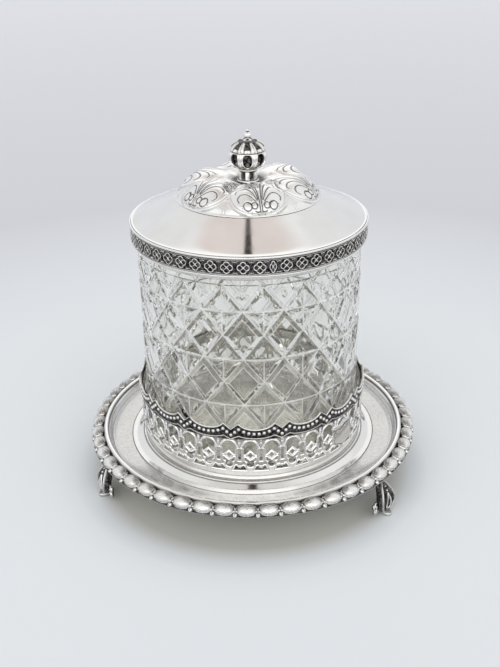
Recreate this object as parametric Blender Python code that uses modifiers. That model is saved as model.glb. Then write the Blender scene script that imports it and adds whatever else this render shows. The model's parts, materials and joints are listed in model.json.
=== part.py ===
"""A cut-glass biscuit jar with a plated lid, standing in the gallery of a plated stand on three cast feet.

Metres, +Z up. The origin is on the jar's axis, on the table that the feet stand on. The front is -Y.
"""

from math import atan2, cos, hypot, pi, radians, sin, tau

import bmesh
import bpy
from mathutils import Matrix

# Clearances shared by pieces that touch
GAP = 0.0003
WELD = 0.00001

# Glass jar, whose radius and height carry the rest
FLOOR_HEIGHT = 0.0330
JAR_RADIUS = 0.07135
JAR_HEIGHT = 0.1447
JAR_TOP = FLOOR_HEIGHT + GAP + JAR_HEIGHT
JAR_WALL = 0.0063
JAR_BASE = 0.0090
JAR_INNER_CORNER = 0.0040
JAR_FOOT_CHAMFER = 0.0015
LATTICE_COLUMNS = 18
LATTICE_ROWS = 8
LATTICE_TOP_MARGIN = 0.0146
LATTICE_FOOT_MARGIN = 0.0053
LATTICE_TOP = JAR_TOP - LATTICE_TOP_MARGIN
LATTICE_ROW_HEIGHT = (JAR_HEIGHT - LATTICE_TOP_MARGIN - LATTICE_FOOT_MARGIN) / LATTICE_ROWS
LATTICE_PHASE = radians(6.2)
LATTICE_DEPTH = 0.0014
LATTICE_GROOVE = 0.0028

# Scalloped crest round the top of the gallery
CREST_SHEET = 0.0012
CREST_COUNT = 15
CREST_PHASE = radians(-10.2)
CREST_NOTCH_DEPTH = 0.0046
CREST_SCALLOP_DEPTH = 0.0046
CREST_BAND_HEIGHT = 0.0062
CREST_STEPS = 12
CREST_PEAK_STEP = 2

# Pierced gallery that holds the jar
GALLERY_SHEET = 0.0010
GALLERY_CLEARANCE = 0.00235
GALLERY_RADIUS = JAR_RADIUS + GALLERY_CLEARANCE + GALLERY_SHEET
GALLERY_HEIGHT = 0.0426
GALLERY_TOP = FLOOR_HEIGHT + GALLERY_HEIGHT
WALL_TOP_DROP = 0.0056
PIERCING_PITCH = 0.0133
PIERCING_COUNT = round(tau * GALLERY_RADIUS / PIERCING_PITCH)
PIERCING_PHASE = radians(-1.3)
STRUT_SEAM_OFFSET = 0.0022
UPPER_SEAM_OFFSET = 0.0047
SEAM_STEP_LOW = 0.0143
SEAM_STEP_HIGH = 0.0155
FOOT_HOLE_BOTTOM = 0.0096
FOOT_HOLE_HEIGHT = 0.0037
FOOT_HOLE_HALF_WIDTH = 0.0040
FOOT_HOLE_TOP_SHARE = 0.55
KEYHOLE_CENTRE = 0.0129
KEYHOLE_RADIUS = 0.0016
WING_HALF_WIDTH = 0.0031
WING_RISE = 0.0047
SLOT_BOTTOM = 0.0158
SLOT_HEIGHT = 0.0068
SLOT_HALF_WIDTH = 0.00095
ARCH_BOTTOM = 0.0226
ARCH_HEIGHT = 0.0056
ARCH_HALF_WIDTH = 0.0037
CARTOUCHE_AZIMUTH = radians(50.5)
CARTOUCHE_BOTTOM = 0.0096
CARTOUCHE_TOP_MARGIN = 0.0032
CARTOUCHE_TOP = GALLERY_HEIGHT - CREST_NOTCH_DEPTH - CREST_BAND_HEIGHT - CARTOUCHE_TOP_MARGIN
CARTOUCHE_HEIGHT = CARTOUCHE_TOP - CARTOUCHE_BOTTOM
CARTOUCHE_HALF_WIDTH = 0.0105
CARTOUCHE_SHEET = 0.0008
CARTOUCHE_STRIPS = 6
CARTOUCHE_SHARES = ((-1, 0.92), (-1, 0.45), (0, 0), (1, 0.45), (1, 0.92), (0.5, 0.8), (0, 1), (-0.5, 0.8))

# Tray sheet, out from the gallery
TRAY_SHEET = 0.0012
PLATFORM_WIDTH = 0.0093
PLATFORM_RADIUS = GALLERY_RADIUS + PLATFORM_WIDTH
PLATFORM_DROP = 0.0024
PLATFORM_ROUND = 0.0016
WELL_WIDTH = 0.0085
WELL_RADIUS = PLATFORM_RADIUS + WELL_WIDTH
WELL_SAG = 0.0004
WELL_SLOPE_WIDTH = 0.0090
RIDGE_RADIUS = WELL_RADIUS + WELL_SLOPE_WIDTH
RIDGE_RISE = 0.0051
RIDGE_HALF_WIDTH = 0.0017
RIDGE_CROWN = 0.0008
FLANGE_RISE = 0.0010
FLANGE_WIDTH = 0.0041

# Cast border of eggs and beads round the tray
BORDER_MARGIN = 0.0010
BORDER_INNER_RADIUS = RIDGE_RADIUS + RIDGE_HALF_WIDTH + BORDER_MARGIN
FLANGE_RADIUS = BORDER_INNER_RADIUS + FLANGE_WIDTH
BORDER_OVERHANG = 0.0045
BORDER_RADIUS = FLANGE_RADIUS + BORDER_OVERHANG
BORDER_CROWN_RISE = 0.0050
BORDER_EDGE_RISE = 0.0010
BORDER_LIP_DROP = 0.0020
BORDER_LIP_WIDTH = 0.0024
EGG_PITCH = 0.01418
EGG_COUNT = round(tau * BORDER_RADIUS / EGG_PITCH)
EGG_STEPS = 3
EGG_PHASE = radians(1.2)
EGG_DEPTH = 0.0013

# Lid sheet
LID_SHEET = 0.0010
SKIRT_CLEARANCE = 0.00105
SKIRT_RADIUS = JAR_RADIUS + SKIRT_CLEARANCE + LID_SHEET
SKIRT_OVERLAP = 0.0067
SKIRT_BOTTOM = JAR_TOP - SKIRT_OVERLAP
SKIRT_HEIGHT = 0.0125
SHOULDER_HEIGHT = SKIRT_BOTTOM + SKIRT_HEIGHT
SHOULDER_RISE = 0.0134
SHOULDER_TOP = SHOULDER_HEIGHT + SHOULDER_RISE
SHOULDER_WIDTH = 0.0289
SHOULDER_TOP_RADIUS = SKIRT_RADIUS - SHOULDER_WIDTH
SHOULDER_SAG = 0.0003
CROWN_RISE = 0.0005

# Wires and chased band round the skirt
BAND_THICKNESS = 0.0013
RIM_WIRE_RADIUS = 0.0008
BASE_WIRE_RADIUS = 0.0006

# Bezel that centres the lid in the jar's mouth
BEZEL_CLEARANCE = 0.0007
BEZEL_SHEET = 0.0010
BEZEL_DEPTH = 0.0120

# Lobed dome on top of the lid
DOME_OVERLAP = 0.0014
DOME_RADIUS = SHOULDER_TOP_RADIUS + DOME_OVERLAP
DOME_SEAT = 0.0001
DOME_BASE = SHOULDER_TOP + DOME_SEAT
DOME_SHEET = 0.0008
DOME_CREST_RISE = 0.0117
DOME_WELL_RISE = 0.0077
DOME_WELL_HEIGHT = DOME_BASE + DOME_WELL_RISE
DOME_CREST_SHARES = ((0.22, 0.0), (0.32, 0.35), (0.44, 0.8), (0.58, 1.0), (0.72, 0.93))
DOME_EDGE_SHARES = ((0.84, 0.72), (0.94, 0.42), (0.99, 0.16), (1.0, 0.0))
DOME_LOBES = 6
DOME_PHASE = radians(10)
DOME_GUTTER_DEPTH = 0.0024

# Fixing of the finial
STUD_RADIUS = 0.0016
STUD_TIP_BELOW_NUT = 0.0010
STUD_DEPTH_IN_FINIAL = 0.0052
WASHER_RADIUS = 0.0050
WASHER_THICKNESS = 0.0008
NUT_RADIUS = 0.0034
NUT_HEIGHT = 0.0024

# Finial
FINIAL_FLANGE_RADIUS = 0.0070
FINIAL_FLANGE_HEIGHT = 0.0013
FINIAL_WAIST_RADIUS = 0.0050
FINIAL_WAIST_HEIGHT = 0.0060
FINIAL_COLLAR_RADIUS = 0.0058
FINIAL_COLLAR_HEIGHT = 0.0013
FINIAL_FLUTES = 8
FLUTE_DEPTH_SHARE = 0.14
CAGE_RADIUS = 0.0118
CAGE_HEIGHT = 0.0102
CAGE_SHEET = 0.0014
CAGE_SHARES = ((0.9, 1.0), (0.98, 0.85), (1.0, 0.65), (0.9, 0.35), (0.7, 0.1), (0.52, 0.0))
WINDOW_COUNT = 8
WINDOW_HALF_WIDTH = 0.0026
WINDOW_HALF_HEIGHT = 0.0033
JEWEL_RADIUS = 0.0019
ROOF_RADIUS = 0.0112
ROOF_EAVE = 0.0007
ROOF_HEIGHT = 0.0063
ROOF_NECK_RADIUS = 0.0025
ROOF_SCALLOP_SHARE = 0.14
BALL_RADIUS = 0.0026
PIP_RADIUS = 0.0009

# Cast feet
FOOT_AZIMUTHS = (radians(-68), radians(52), radians(172))
FOOT_TOE_REACH = 0.0002
FOOT_TOE_AT = FLANGE_RADIUS + FOOT_TOE_REACH
FOOT_TOE_RADIUS = 0.0036
FOOT_TOE_HEIGHT = 0.0060
FOOT_LEAF_HALF_WIDTH = 0.0068
FOOT_LEAF_THICKNESS = 0.0036
FOOT_LEAF_BOTTOM = 0.0036
FOOT_LEAF_SHARES = ((0, 0), (0.55, 0.06), (0.95, 0.24), (1, 0.42), (0.62, 0.68), (0.5, 0.86), (0.9, 1))
FOOT_LEAN = radians(13)
FOOT_VOLUTE_RADIUS = 0.0032
FOOT_VOLUTE_HEIGHT = 0.0098
FOOT_VOLUTE_WIDTH = 0.0050
FOOT_PAD_LENGTH = 0.0072
FOOT_PAD_WIDTH = 0.0120
FOOT_PAD_THICKNESS = 0.0026

# Facets round the large and the small turned pieces
ROUND_STEPS = 48
DOME_STEPS = 36
FINIAL_STEPS = 32
CAGE_STEPS = 24
WIRE_SIDES = 6
NUT_SIDES = 6
ROD_SIDES = 12
JEWEL_SIDES = 6
JEWEL_RINGS = 4
BALL_SIDES = 12
BALL_RINGS = 8

PARTS = "biscuit_jar"
CUTTERS = "cutters"


def clear_scene():
    for obj in list(bpy.data.objects):
        bpy.data.objects.remove(obj)
    for name in (PARTS, CUTTERS):
        bpy.context.scene.collection.children.link(bpy.data.collections.new(name))


def material(name, colour, roughness, metallic, transmission=0.0):
    made = bpy.data.materials.new(name)
    made.use_nodes = True
    shader = made.node_tree.nodes["Principled BSDF"]
    shader.inputs["Base Color"].default_value = (*colour, 1.0)
    shader.inputs["Roughness"].default_value = roughness
    shader.inputs["Metallic"].default_value = metallic
    shader.inputs["Transmission Weight"].default_value = transmission
    return made


def place(obj, name, finish, collection=PARTS):
    """Names the object, gives it its finish and moves it to the collection."""
    obj.name = name
    obj.data.name = name
    for holder in list(obj.users_collection):
        holder.objects.unlink(obj)
    bpy.data.collections[collection].objects.link(obj)
    if finish:
        obj.data.materials.clear()
        obj.data.materials.append(finish)
    return obj


def hide_cutter(obj):
    obj.hide_render = True
    obj.display_type = "WIRE"
    return obj


def shade_round(obj):
    obj.data.shade_smooth()
    obj.data.set_sharp_from_angle(angle=radians(40))
    return obj


def baked(obj):
    """The object with its modifiers applied, as a plain mesh."""
    graph = bpy.context.evaluated_depsgraph_get()
    mesh = bpy.data.meshes.new_from_object(obj.evaluated_get(graph))
    made = bpy.data.objects.new(obj.name, mesh)
    made.matrix_world = obj.matrix_world
    bpy.context.scene.collection.objects.link(made)
    bpy.data.objects.remove(obj)
    return made


def turned(outline, steps, sheet=0.0, closed=False):
    """A Screw round Z of (radius, height) points that run down the outer side, as a sheet or a solid."""
    mesh = bpy.data.meshes.new("outline")
    links = [(i, i + 1) for i in range(len(outline) - 1)]
    if closed:
        links.append((len(outline) - 1, 0))
    mesh.from_pydata([(radius, 0, height) for radius, height in outline], links, [])
    obj = bpy.data.objects.new("outline", mesh)
    bpy.context.scene.collection.objects.link(obj)
    screw = obj.modifiers.new("turn", "SCREW")
    screw.steps = steps
    screw.render_steps = steps
    screw.use_merge_vertices = True
    screw.merge_threshold = WELD
    if sheet:
        shell = obj.modifiers.new("sheet", "SOLIDIFY")
        shell.thickness = sheet
        shell.offset = -1
        shell.use_even_offset = True
    return baked(obj)


def filled_outline(outlines, thickness):
    """A flat plate in the XY plane from a closed outline and the holes in it, made a welded mesh."""
    curve = bpy.data.curves.new("plate", "CURVE")
    curve.dimensions = "2D"
    curve.fill_mode = "BOTH"
    curve.extrude = thickness / 2
    for points in outlines:
        spline = curve.splines.new("POLY")
        spline.points.add(len(points) - 1)
        for point, (x, y) in zip(spline.points, points):
            point.co = (x, y, 0, 1)
        spline.use_cyclic_u = True
    obj = bpy.data.objects.new("plate", curve)
    bpy.context.scene.collection.objects.link(obj)
    bpy.context.view_layer.update()
    made = baked(obj)
    shape = bmesh.new()
    shape.from_mesh(made.data)
    bmesh.ops.remove_doubles(shape, verts=shape.verts, dist=WELD)
    bmesh.ops.recalc_face_normals(shape, faces=shape.faces)
    shape.to_mesh(made.data)
    shape.free()
    return made


def cut_in_strips(shape, low, width, strips):
    """Cuts a flat plate across at even steps, so that it follows a cylinder once it is wrapped."""
    for step in range(1, strips):
        everything = shape.verts[:] + shape.edges[:] + shape.faces[:]
        cut_at = (low + width * step / strips, 0, 0)
        bmesh.ops.bisect_plane(shape, geom=everything, dist=WELD, plane_co=cut_at, plane_no=(1, 0, 0))


def ring_of_cells(outlines, seam, width, strips, count, radius, thickness):
    """One flat cell, wrapped on a cylinder of this outer radius and repeated round it.

    seam is the cell's left edge as (x, y) points; the right edge is the same, one width further on.
    """
    plate = filled_outline(outlines, thickness)
    shape = bmesh.new()
    shape.from_mesh(plate.data)
    ends = {(round(x / WELD), round(y / WELD)) for x, y in seam}
    ends |= {(round((x + width) / WELD), round(y / WELD)) for x, y in seam}

    def on_seam(vert):
        return (round(vert.co.x / WELD), round(vert.co.y / WELD)) in ends

    walls = [
        face
        for face in shape.faces
        if abs(face.normal.z) < cos(pi / 4) and all(on_seam(vert) for vert in face.verts)
    ]
    bmesh.ops.delete(shape, geom=walls, context="FACES")
    cut_in_strips(shape, seam[0][0], width, strips)
    for vert in shape.verts:
        turn = vert.co.x / width * tau / count
        reach = radius - thickness / 2 + vert.co.z
        vert.co = (reach * sin(turn), -reach * cos(turn), vert.co.y)
    bmesh.ops.spin(
        shape,
        geom=shape.verts[:] + shape.edges[:] + shape.faces[:],
        axis=(0, 0, 1),
        cent=(0, 0, 0),
        angle=tau * (count - 1) / count,
        steps=count - 1,
        use_duplicate=True,
    )
    bmesh.ops.remove_doubles(shape, verts=shape.verts, dist=WELD)
    bmesh.ops.recalc_face_normals(shape, faces=shape.faces)
    shape.to_mesh(plate.data)
    shape.free()
    return plate


def ripple(obj, count, phase, depth_at):
    """Draws points in towards the axis between the crests of a wave with this many crests.

    depth_at gives the full depth for a point's radius and height.
    """
    for vert in obj.data.vertices:
        radius = hypot(vert.co.x, vert.co.y)
        if radius < WELD:
            continue
        turn = azimuth_of(vert.co) - phase
        dip = (1 - cos(count * turn)) / 2
        scale = 1 - dip * depth_at(radius, vert.co.z) / radius
        vert.co.x *= scale
        vert.co.y *= scale
    return obj


def azimuth_of(point):
    """The angle round Z from the front, -Y, positive towards +X."""
    return atan2(point.x, -point.y)


def boolean(obj, other, operation):
    change = obj.modifiers.new(operation.lower(), "BOOLEAN")
    change.operation = operation
    change.solver = "EXACT"
    change.object = other
    return obj


def joined(name, pieces):
    """The Boolean union of overlapping pieces, as one mesh."""
    whole = pieces[0]
    for piece in pieces[1:]:
        boolean(whole, piece, "UNION")
    whole = baked(whole)
    for piece in pieces[1:]:
        bpy.data.objects.remove(piece)
    whole.name = name
    return whole


def gathered(pieces):
    """Separate pieces in one mesh, for one Boolean."""
    shape = bmesh.new()
    for piece in pieces:
        piece.data.transform(piece.matrix_world)
        shape.from_mesh(piece.data)
        bpy.data.objects.remove(piece)
    mesh = bpy.data.meshes.new("group")
    shape.to_mesh(mesh)
    shape.free()
    obj = bpy.data.objects.new("group", mesh)
    bpy.context.scene.collection.objects.link(obj)
    return obj


def fixed_transform(obj):
    """The object with its place and scale moved into its mesh."""
    bpy.context.view_layer.update()
    obj.data.transform(obj.matrix_world)
    obj.matrix_world = Matrix.Identity(4)
    return obj


def tray_top(radius):
    """Height of the well's upper face between the platform and the ridge."""
    low = FLOOR_HEIGHT - PLATFORM_DROP
    if radius <= WELL_RADIUS:
        return low
    share = (radius - WELL_RADIUS) / (RIDGE_RADIUS - WELL_RADIUS)
    return low + share**2 * (RIDGE_RISE + PLATFORM_DROP - RIDGE_CROWN)


def make_tray(silver):
    ridge_top = FLOOR_HEIGHT + RIDGE_RISE
    ridge_in = RIDGE_RADIUS - RIDGE_HALF_WIDTH
    ridge_out = RIDGE_RADIUS + RIDGE_HALF_WIDTH
    flange_top = FLOOR_HEIGHT + FLANGE_RISE
    well_middle = (PLATFORM_RADIUS + WELL_RADIUS) / 2
    outline = [
        (0, FLOOR_HEIGHT),
        (PLATFORM_RADIUS - PLATFORM_ROUND, FLOOR_HEIGHT),
        (PLATFORM_RADIUS, FLOOR_HEIGHT - PLATFORM_ROUND),
        (well_middle, FLOOR_HEIGHT - PLATFORM_DROP - WELL_SAG),
        (WELL_RADIUS, tray_top(WELL_RADIUS)),
        ((WELL_RADIUS + ridge_in) / 2, tray_top((WELL_RADIUS + ridge_in) / 2)),
        (ridge_in, tray_top(ridge_in)),
        (RIDGE_RADIUS, ridge_top),
        (ridge_out, ridge_top - RIDGE_CROWN),
        (BORDER_INNER_RADIUS, flange_top),
        (FLANGE_RADIUS, flange_top),
    ]
    dish = turned(outline, ROUND_STEPS, TRAY_SHEET)
    return shade_round(place(dish, "tray_dish", silver))


def make_border(silver):
    seat = FLOOR_HEIGHT + FLANGE_RISE + GAP
    crown = FLOOR_HEIGHT + BORDER_CROWN_RISE
    edge = FLOOR_HEIGHT + BORDER_EDGE_RISE
    lip_bottom = FLOOR_HEIGHT - BORDER_LIP_DROP
    lip_inner = FLANGE_RADIUS + GAP
    width = BORDER_RADIUS - BORDER_INNER_RADIUS
    crown_in = BORDER_INNER_RADIUS + width / 4
    crown_out = BORDER_RADIUS - width / 4
    outline = [
        (crown_in, crown),
        (crown_out, crown - (crown - edge) / 3),
        (BORDER_RADIUS, edge),
        (lip_inner + BORDER_LIP_WIDTH, lip_bottom),
        (lip_inner, lip_bottom),
        (lip_inner, seat),
        (BORDER_INNER_RADIUS, seat),
        (BORDER_INNER_RADIUS, crown - (crown - seat) / 3),
    ]
    ring = turned(outline, EGG_COUNT * EGG_STEPS, closed=True)
    ring.data.transform(Matrix.Rotation(EGG_PHASE, 4, "Z"))

    def egg_depth(radius, height):
        outside = radius > lip_inner + GAP and height > lip_bottom + GAP
        return EGG_DEPTH if outside else 0.0

    ripple(ring, EGG_COUNT, EGG_PHASE, egg_depth)
    return shade_round(place(ring, "tray_border", silver))


def gallery_cell():
    """Outlines of one repeat of the piercing, flat, with heights above the tray's floor."""
    width = tau * (GALLERY_RADIUS - GALLERY_SHEET / 2) / PIERCING_COUNT
    top = GALLERY_TOP - WALL_TOP_DROP
    base = FLOOR_HEIGHT + GAP
    step_low = FLOOR_HEIGHT + SEAM_STEP_LOW
    step_high = FLOOR_HEIGHT + SEAM_STEP_HIGH
    seam = [
        (STRUT_SEAM_OFFSET - width, base),
        (STRUT_SEAM_OFFSET - width, step_low),
        (UPPER_SEAM_OFFSET - width, step_high),
        (UPPER_SEAM_OFFSET - width, top),
    ]
    right = [(x + width, y) for x, y in reversed(seam)]
    middle_top = [(UPPER_SEAM_OFFSET - width / 2, top)]
    middle_base = [(STRUT_SEAM_OFFSET - width / 2, base)]
    border = seam + middle_top + right + middle_base
    between = -width / 2
    key = FLOOR_HEIGHT + KEYHOLE_CENTRE
    keyhole = [
        (KEYHOLE_RADIUS * cos(radians(turn)), key + KEYHOLE_RADIUS * sin(radians(turn)))
        for turn in (150, 210, 270, 330, 30)
    ]
    keyhole += [
        (WING_HALF_WIDTH, key + WING_RISE),
        (0, key + WING_RISE / 2),
        (-WING_HALF_WIDTH, key + WING_RISE),
    ]
    slot_low = FLOOR_HEIGHT + SLOT_BOTTOM
    slot = [
        (between - SLOT_HALF_WIDTH, slot_low),
        (between + SLOT_HALF_WIDTH, slot_low),
        (between + SLOT_HALF_WIDTH, slot_low + SLOT_HEIGHT),
        (between - SLOT_HALF_WIDTH, slot_low + SLOT_HEIGHT),
    ]
    low = FLOOR_HEIGHT + FOOT_HOLE_BOTTOM
    top_half = FOOT_HOLE_HALF_WIDTH * FOOT_HOLE_TOP_SHARE
    foot_hole = [
        (between - FOOT_HOLE_HALF_WIDTH, low),
        (between + FOOT_HOLE_HALF_WIDTH, low),
        (between + top_half, low + FOOT_HOLE_HEIGHT),
        (between - top_half, low + FOOT_HOLE_HEIGHT),
    ]
    arch_low = FLOOR_HEIGHT + ARCH_BOTTOM
    arch = [
        (0, arch_low),
        (ARCH_HALF_WIDTH, arch_low + ARCH_HEIGHT / 4),
        (ARCH_HALF_WIDTH * 2 / 3, arch_low + ARCH_HEIGHT * 3 / 4),
        (0, arch_low + ARCH_HEIGHT),
        (-ARCH_HALF_WIDTH * 2 / 3, arch_low + ARCH_HEIGHT * 3 / 4),
        (-ARCH_HALF_WIDTH, arch_low + ARCH_HEIGHT / 4),
    ]
    return [border, keyhole, slot, foot_hole, arch], seam, width


def make_gallery(silver):
    outlines, seam, width = gallery_cell()
    wall = ring_of_cells(outlines, seam, width, 1, PIERCING_COUNT, GALLERY_RADIUS, GALLERY_SHEET)
    wall.data.transform(Matrix.Rotation(PIERCING_PHASE, 4, "Z"))
    place(wall, "gallery_wall", silver)

    shield = filled_outline(
        [[(x * CARTOUCHE_HALF_WIDTH, y * CARTOUCHE_HEIGHT) for x, y in CARTOUCHE_SHARES]],
        CARTOUCHE_SHEET,
    )
    shape = bmesh.new()
    shape.from_mesh(shield.data)
    cut_in_strips(shape, -CARTOUCHE_HALF_WIDTH, 2 * CARTOUCHE_HALF_WIDTH, CARTOUCHE_STRIPS)
    reach = GALLERY_RADIUS + GAP + CARTOUCHE_SHEET / 2
    for vert in shape.verts:
        turn = vert.co.x / reach
        out = reach + vert.co.z
        height = FLOOR_HEIGHT + CARTOUCHE_BOTTOM + vert.co.y
        vert.co = (out * sin(turn), -out * cos(turn), height)
    shape.to_mesh(shield.data)
    shape.free()
    shield.data.transform(Matrix.Rotation(CARTOUCHE_AZIMUTH, 4, "Z"))
    place(shield, "gallery_cartouche", silver)


def crest_cell():
    """Outline of one scallop, from the bottom of one notch to the next."""
    outer = GALLERY_RADIUS + GAP + CREST_SHEET
    width = tau * (outer - CREST_SHEET / 2) / CREST_COUNT
    notch = GALLERY_TOP - CREST_NOTCH_DEPTH
    low = notch - CREST_BAND_HEIGHT
    scallop = []
    for step in range(CREST_PEAK_STEP, CREST_STEPS - CREST_PEAK_STEP + 1):
        share = (step - CREST_PEAK_STEP) / (CREST_STEPS - 2 * CREST_PEAK_STEP)
        dip = CREST_SCALLOP_DEPTH * sin(pi * share)
        scallop.append((width * step / CREST_STEPS, GALLERY_TOP - dip))
    seam = [(0, low), (0, notch)]
    border = seam + scallop + [(width, notch), (width, low), (width / 2, low)]
    return [border], seam, width


def make_crest(oxidised):
    outlines, seam, width = crest_cell()
    outer = GALLERY_RADIUS + GAP + CREST_SHEET
    crest = ring_of_cells(outlines, seam, width, CREST_STEPS, CREST_COUNT, outer, CREST_SHEET)
    crest.data.transform(Matrix.Rotation(CREST_PHASE, 4, "Z"))
    return place(crest, "gallery_crest", oxidised)


def foot_mesh():
    """A cast foot at the front, made of a leaf with a toe, two volutes and a pad under the tray."""
    pad_top = FLOOR_HEIGHT + FLANGE_RISE - TRAY_SHEET - GAP
    pad_middle = pad_top - FOOT_PAD_THICKNESS / 2
    leaf_height = (pad_middle - FOOT_LEAF_BOTTOM) / cos(FOOT_LEAN)
    right = [(x * FOOT_LEAF_HALF_WIDTH, y * leaf_height) for x, y in FOOT_LEAF_SHARES]
    left = [(-x, y) for x, y in reversed(right[1:])]
    leaf = filled_outline([right + left], FOOT_LEAF_THICKNESS)
    leaf.data.transform(Matrix.Rotation(pi / 2 - FOOT_LEAN, 4, "X"))
    leaf.location = (0, -FOOT_TOE_AT, FOOT_LEAF_BOTTOM)
    fixed_transform(leaf)

    bpy.ops.mesh.primitive_cone_add(
        vertices=ROD_SIDES,
        radius1=FOOT_TOE_RADIUS,
        radius2=FOOT_TOE_RADIUS * 2 / 3,
        depth=FOOT_TOE_HEIGHT,
        location=(0, -FOOT_TOE_AT, FOOT_TOE_HEIGHT / 2),
    )
    pieces = [leaf, fixed_transform(bpy.context.object)]
    volute_back = FOOT_VOLUTE_HEIGHT * sin(FOOT_LEAN)
    for side in (-1, 1):
        bpy.ops.mesh.primitive_cylinder_add(
            vertices=ROD_SIDES,
            radius=FOOT_VOLUTE_RADIUS,
            depth=FOOT_VOLUTE_WIDTH,
            location=(side * FOOT_LEAF_HALF_WIDTH, volute_back - FOOT_TOE_AT, FOOT_VOLUTE_HEIGHT),
            rotation=(pi / 2, 0, 0),
        )
        pieces.append(fixed_transform(bpy.context.object))
    pad_outer = FLANGE_RADIUS - GAP
    bpy.ops.mesh.primitive_cube_add(
        size=1,
        location=(0, FOOT_PAD_LENGTH / 2 - pad_outer, pad_middle),
    )
    pad = bpy.context.object
    pad.scale = (FOOT_PAD_WIDTH, FOOT_PAD_LENGTH, FOOT_PAD_THICKNESS)
    pieces.append(fixed_transform(pad))
    whole = joined("foot", pieces)
    mesh = whole.data
    bpy.data.objects.remove(whole)
    return mesh


def make_feet(silver):
    mesh = foot_mesh()
    names = ("foot_left", "foot_right", "foot_back")
    for name, azimuth in zip(names, FOOT_AZIMUTHS):
        foot = bpy.data.objects.new(name, mesh)
        foot.rotation_euler.z = azimuth
        bpy.context.scene.collection.objects.link(foot)
        place(foot, name, silver)
        foot.data.name = "foot"


def make_jar(glass):
    base = FLOOR_HEIGHT + GAP
    inner = JAR_RADIUS - JAR_WALL
    floor = base + JAR_BASE
    lattice_bottom = LATTICE_TOP - LATTICE_ROWS * LATTICE_ROW_HEIGHT
    rows = [LATTICE_TOP - row * LATTICE_ROW_HEIGHT for row in range(LATTICE_ROWS + 1)]
    outline = [(inner, JAR_TOP), (JAR_RADIUS, JAR_TOP), (JAR_RADIUS, LATTICE_TOP + LATTICE_DEPTH)]
    outline += [(JAR_RADIUS, height) for height in rows]
    outline += [
        (JAR_RADIUS, lattice_bottom - LATTICE_DEPTH),
        (JAR_RADIUS - JAR_FOOT_CHAMFER, base),
        (0, base),
    ]
    outline = [(0, floor), (inner - JAR_INNER_CORNER, floor), (inner, floor + JAR_INNER_CORNER)] + outline
    jar = turned(outline, 2 * LATTICE_COLUMNS)
    jar.data.transform(Matrix.Rotation(LATTICE_PHASE, 4, "Z"))
    cut_lattice(jar, rows)
    return place(jar, "glass_jar", glass)


def cut_lattice(jar, rows):
    """Cuts mitre grooves along the diagonals and leaves a flat diamond between them."""
    shape = bmesh.new()
    shape.from_mesh(jar.data)
    pitch = pi / LATTICE_COLUMNS
    crossings, middles = set(), []
    for vert in shape.verts:
        if hypot(vert.co.x, vert.co.y) < JAR_RADIUS - WELD:
            continue
        row = [i for i, height in enumerate(rows) if abs(vert.co.z - height) < WELD]
        column = round((azimuth_of(vert.co) - LATTICE_PHASE) / pitch)
        if row and (row[0] + column) % 2 == 0:
            crossings.add(vert)
        elif row:
            middles.append(vert)
    for face in list(shape.faces):
        ends = [vert for vert in face.verts if vert in crossings]
        if len(ends) == 2 and len(face.verts) == 4 and not shape.edges.get(ends):
            bmesh.utils.face_split(face, ends[0], ends[1])
    across = JAR_RADIUS * pitch
    groove_to_middle = across * LATTICE_ROW_HEIGHT / hypot(across, LATTICE_ROW_HEIGHT)
    bmesh.ops.bevel(
        shape,
        geom=middles,
        affect="VERTICES",
        offset_type="PERCENT",
        offset=100 * (1 - LATTICE_GROOVE / groove_to_middle),
        segments=1,
        clamp_overlap=False,
    )
    for vert in crossings:
        scale = 1 - LATTICE_DEPTH / JAR_RADIUS
        vert.co.x *= scale
        vert.co.y *= scale
    bmesh.ops.recalc_face_normals(shape, faces=shape.faces)
    shape.to_mesh(jar.data)
    shape.free()


def make_lid(silver, oxidised):
    hole = STUD_RADIUS + GAP
    middle = (SHOULDER_TOP_RADIUS + SKIRT_RADIUS) / 2
    outline = [
        (hole, SHOULDER_TOP + CROWN_RISE),
        (SHOULDER_TOP_RADIUS, SHOULDER_TOP),
        (middle, (SHOULDER_TOP + SHOULDER_HEIGHT) / 2 - SHOULDER_SAG),
        (SKIRT_RADIUS, SHOULDER_HEIGHT),
        (SKIRT_RADIUS, SKIRT_BOTTOM),
    ]
    place(turned(outline, ROUND_STEPS, LID_SHEET), "lid_shell", silver)
    shade_round(bpy.data.objects["lid_shell"])

    base_wire = wire_round(BASE_WIRE_RADIUS, SKIRT_BOTTOM + BASE_WIRE_RADIUS)
    shade_round(place(base_wire, "lid_base_wire", silver))
    rim_height = SHOULDER_HEIGHT - RIM_WIRE_RADIUS
    rim_wire = wire_round(RIM_WIRE_RADIUS, rim_height)
    shade_round(place(rim_wire, "lid_rim_wire", silver))

    inner = SKIRT_RADIUS + GAP
    outer = inner + BAND_THICKNESS
    top = rim_height - RIM_WIRE_RADIUS - GAP
    bottom = SKIRT_BOTTOM + 2 * BASE_WIRE_RADIUS + GAP
    band = [(inner, top), (outer, top), (outer, bottom), (inner, bottom)]
    shade_round(place(turned(band, ROUND_STEPS, closed=True), "lid_band", oxidised))

    seat = JAR_TOP + GAP
    collar = JAR_RADIUS - JAR_WALL - BEZEL_CLEARANCE
    flange = SKIRT_RADIUS - LID_SHEET - GAP
    bezel = [
        (flange, seat + BEZEL_SHEET),
        (flange, seat),
        (collar, seat),
        (collar, JAR_TOP - BEZEL_DEPTH),
        (collar - BEZEL_SHEET, JAR_TOP - BEZEL_DEPTH),
        (collar - BEZEL_SHEET, seat + BEZEL_SHEET),
    ]
    shade_round(place(turned(bezel, ROUND_STEPS, closed=True), "lid_bezel", silver))


def wire_round(radius, height):
    """A round wire seated against the outside of the lid's skirt."""
    bpy.ops.mesh.primitive_torus_add(
        major_segments=ROUND_STEPS,
        minor_segments=WIRE_SIDES,
        major_radius=SKIRT_RADIUS + GAP + radius,
        minor_radius=radius,
        location=(0, 0, height),
    )
    return bpy.context.object


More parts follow.
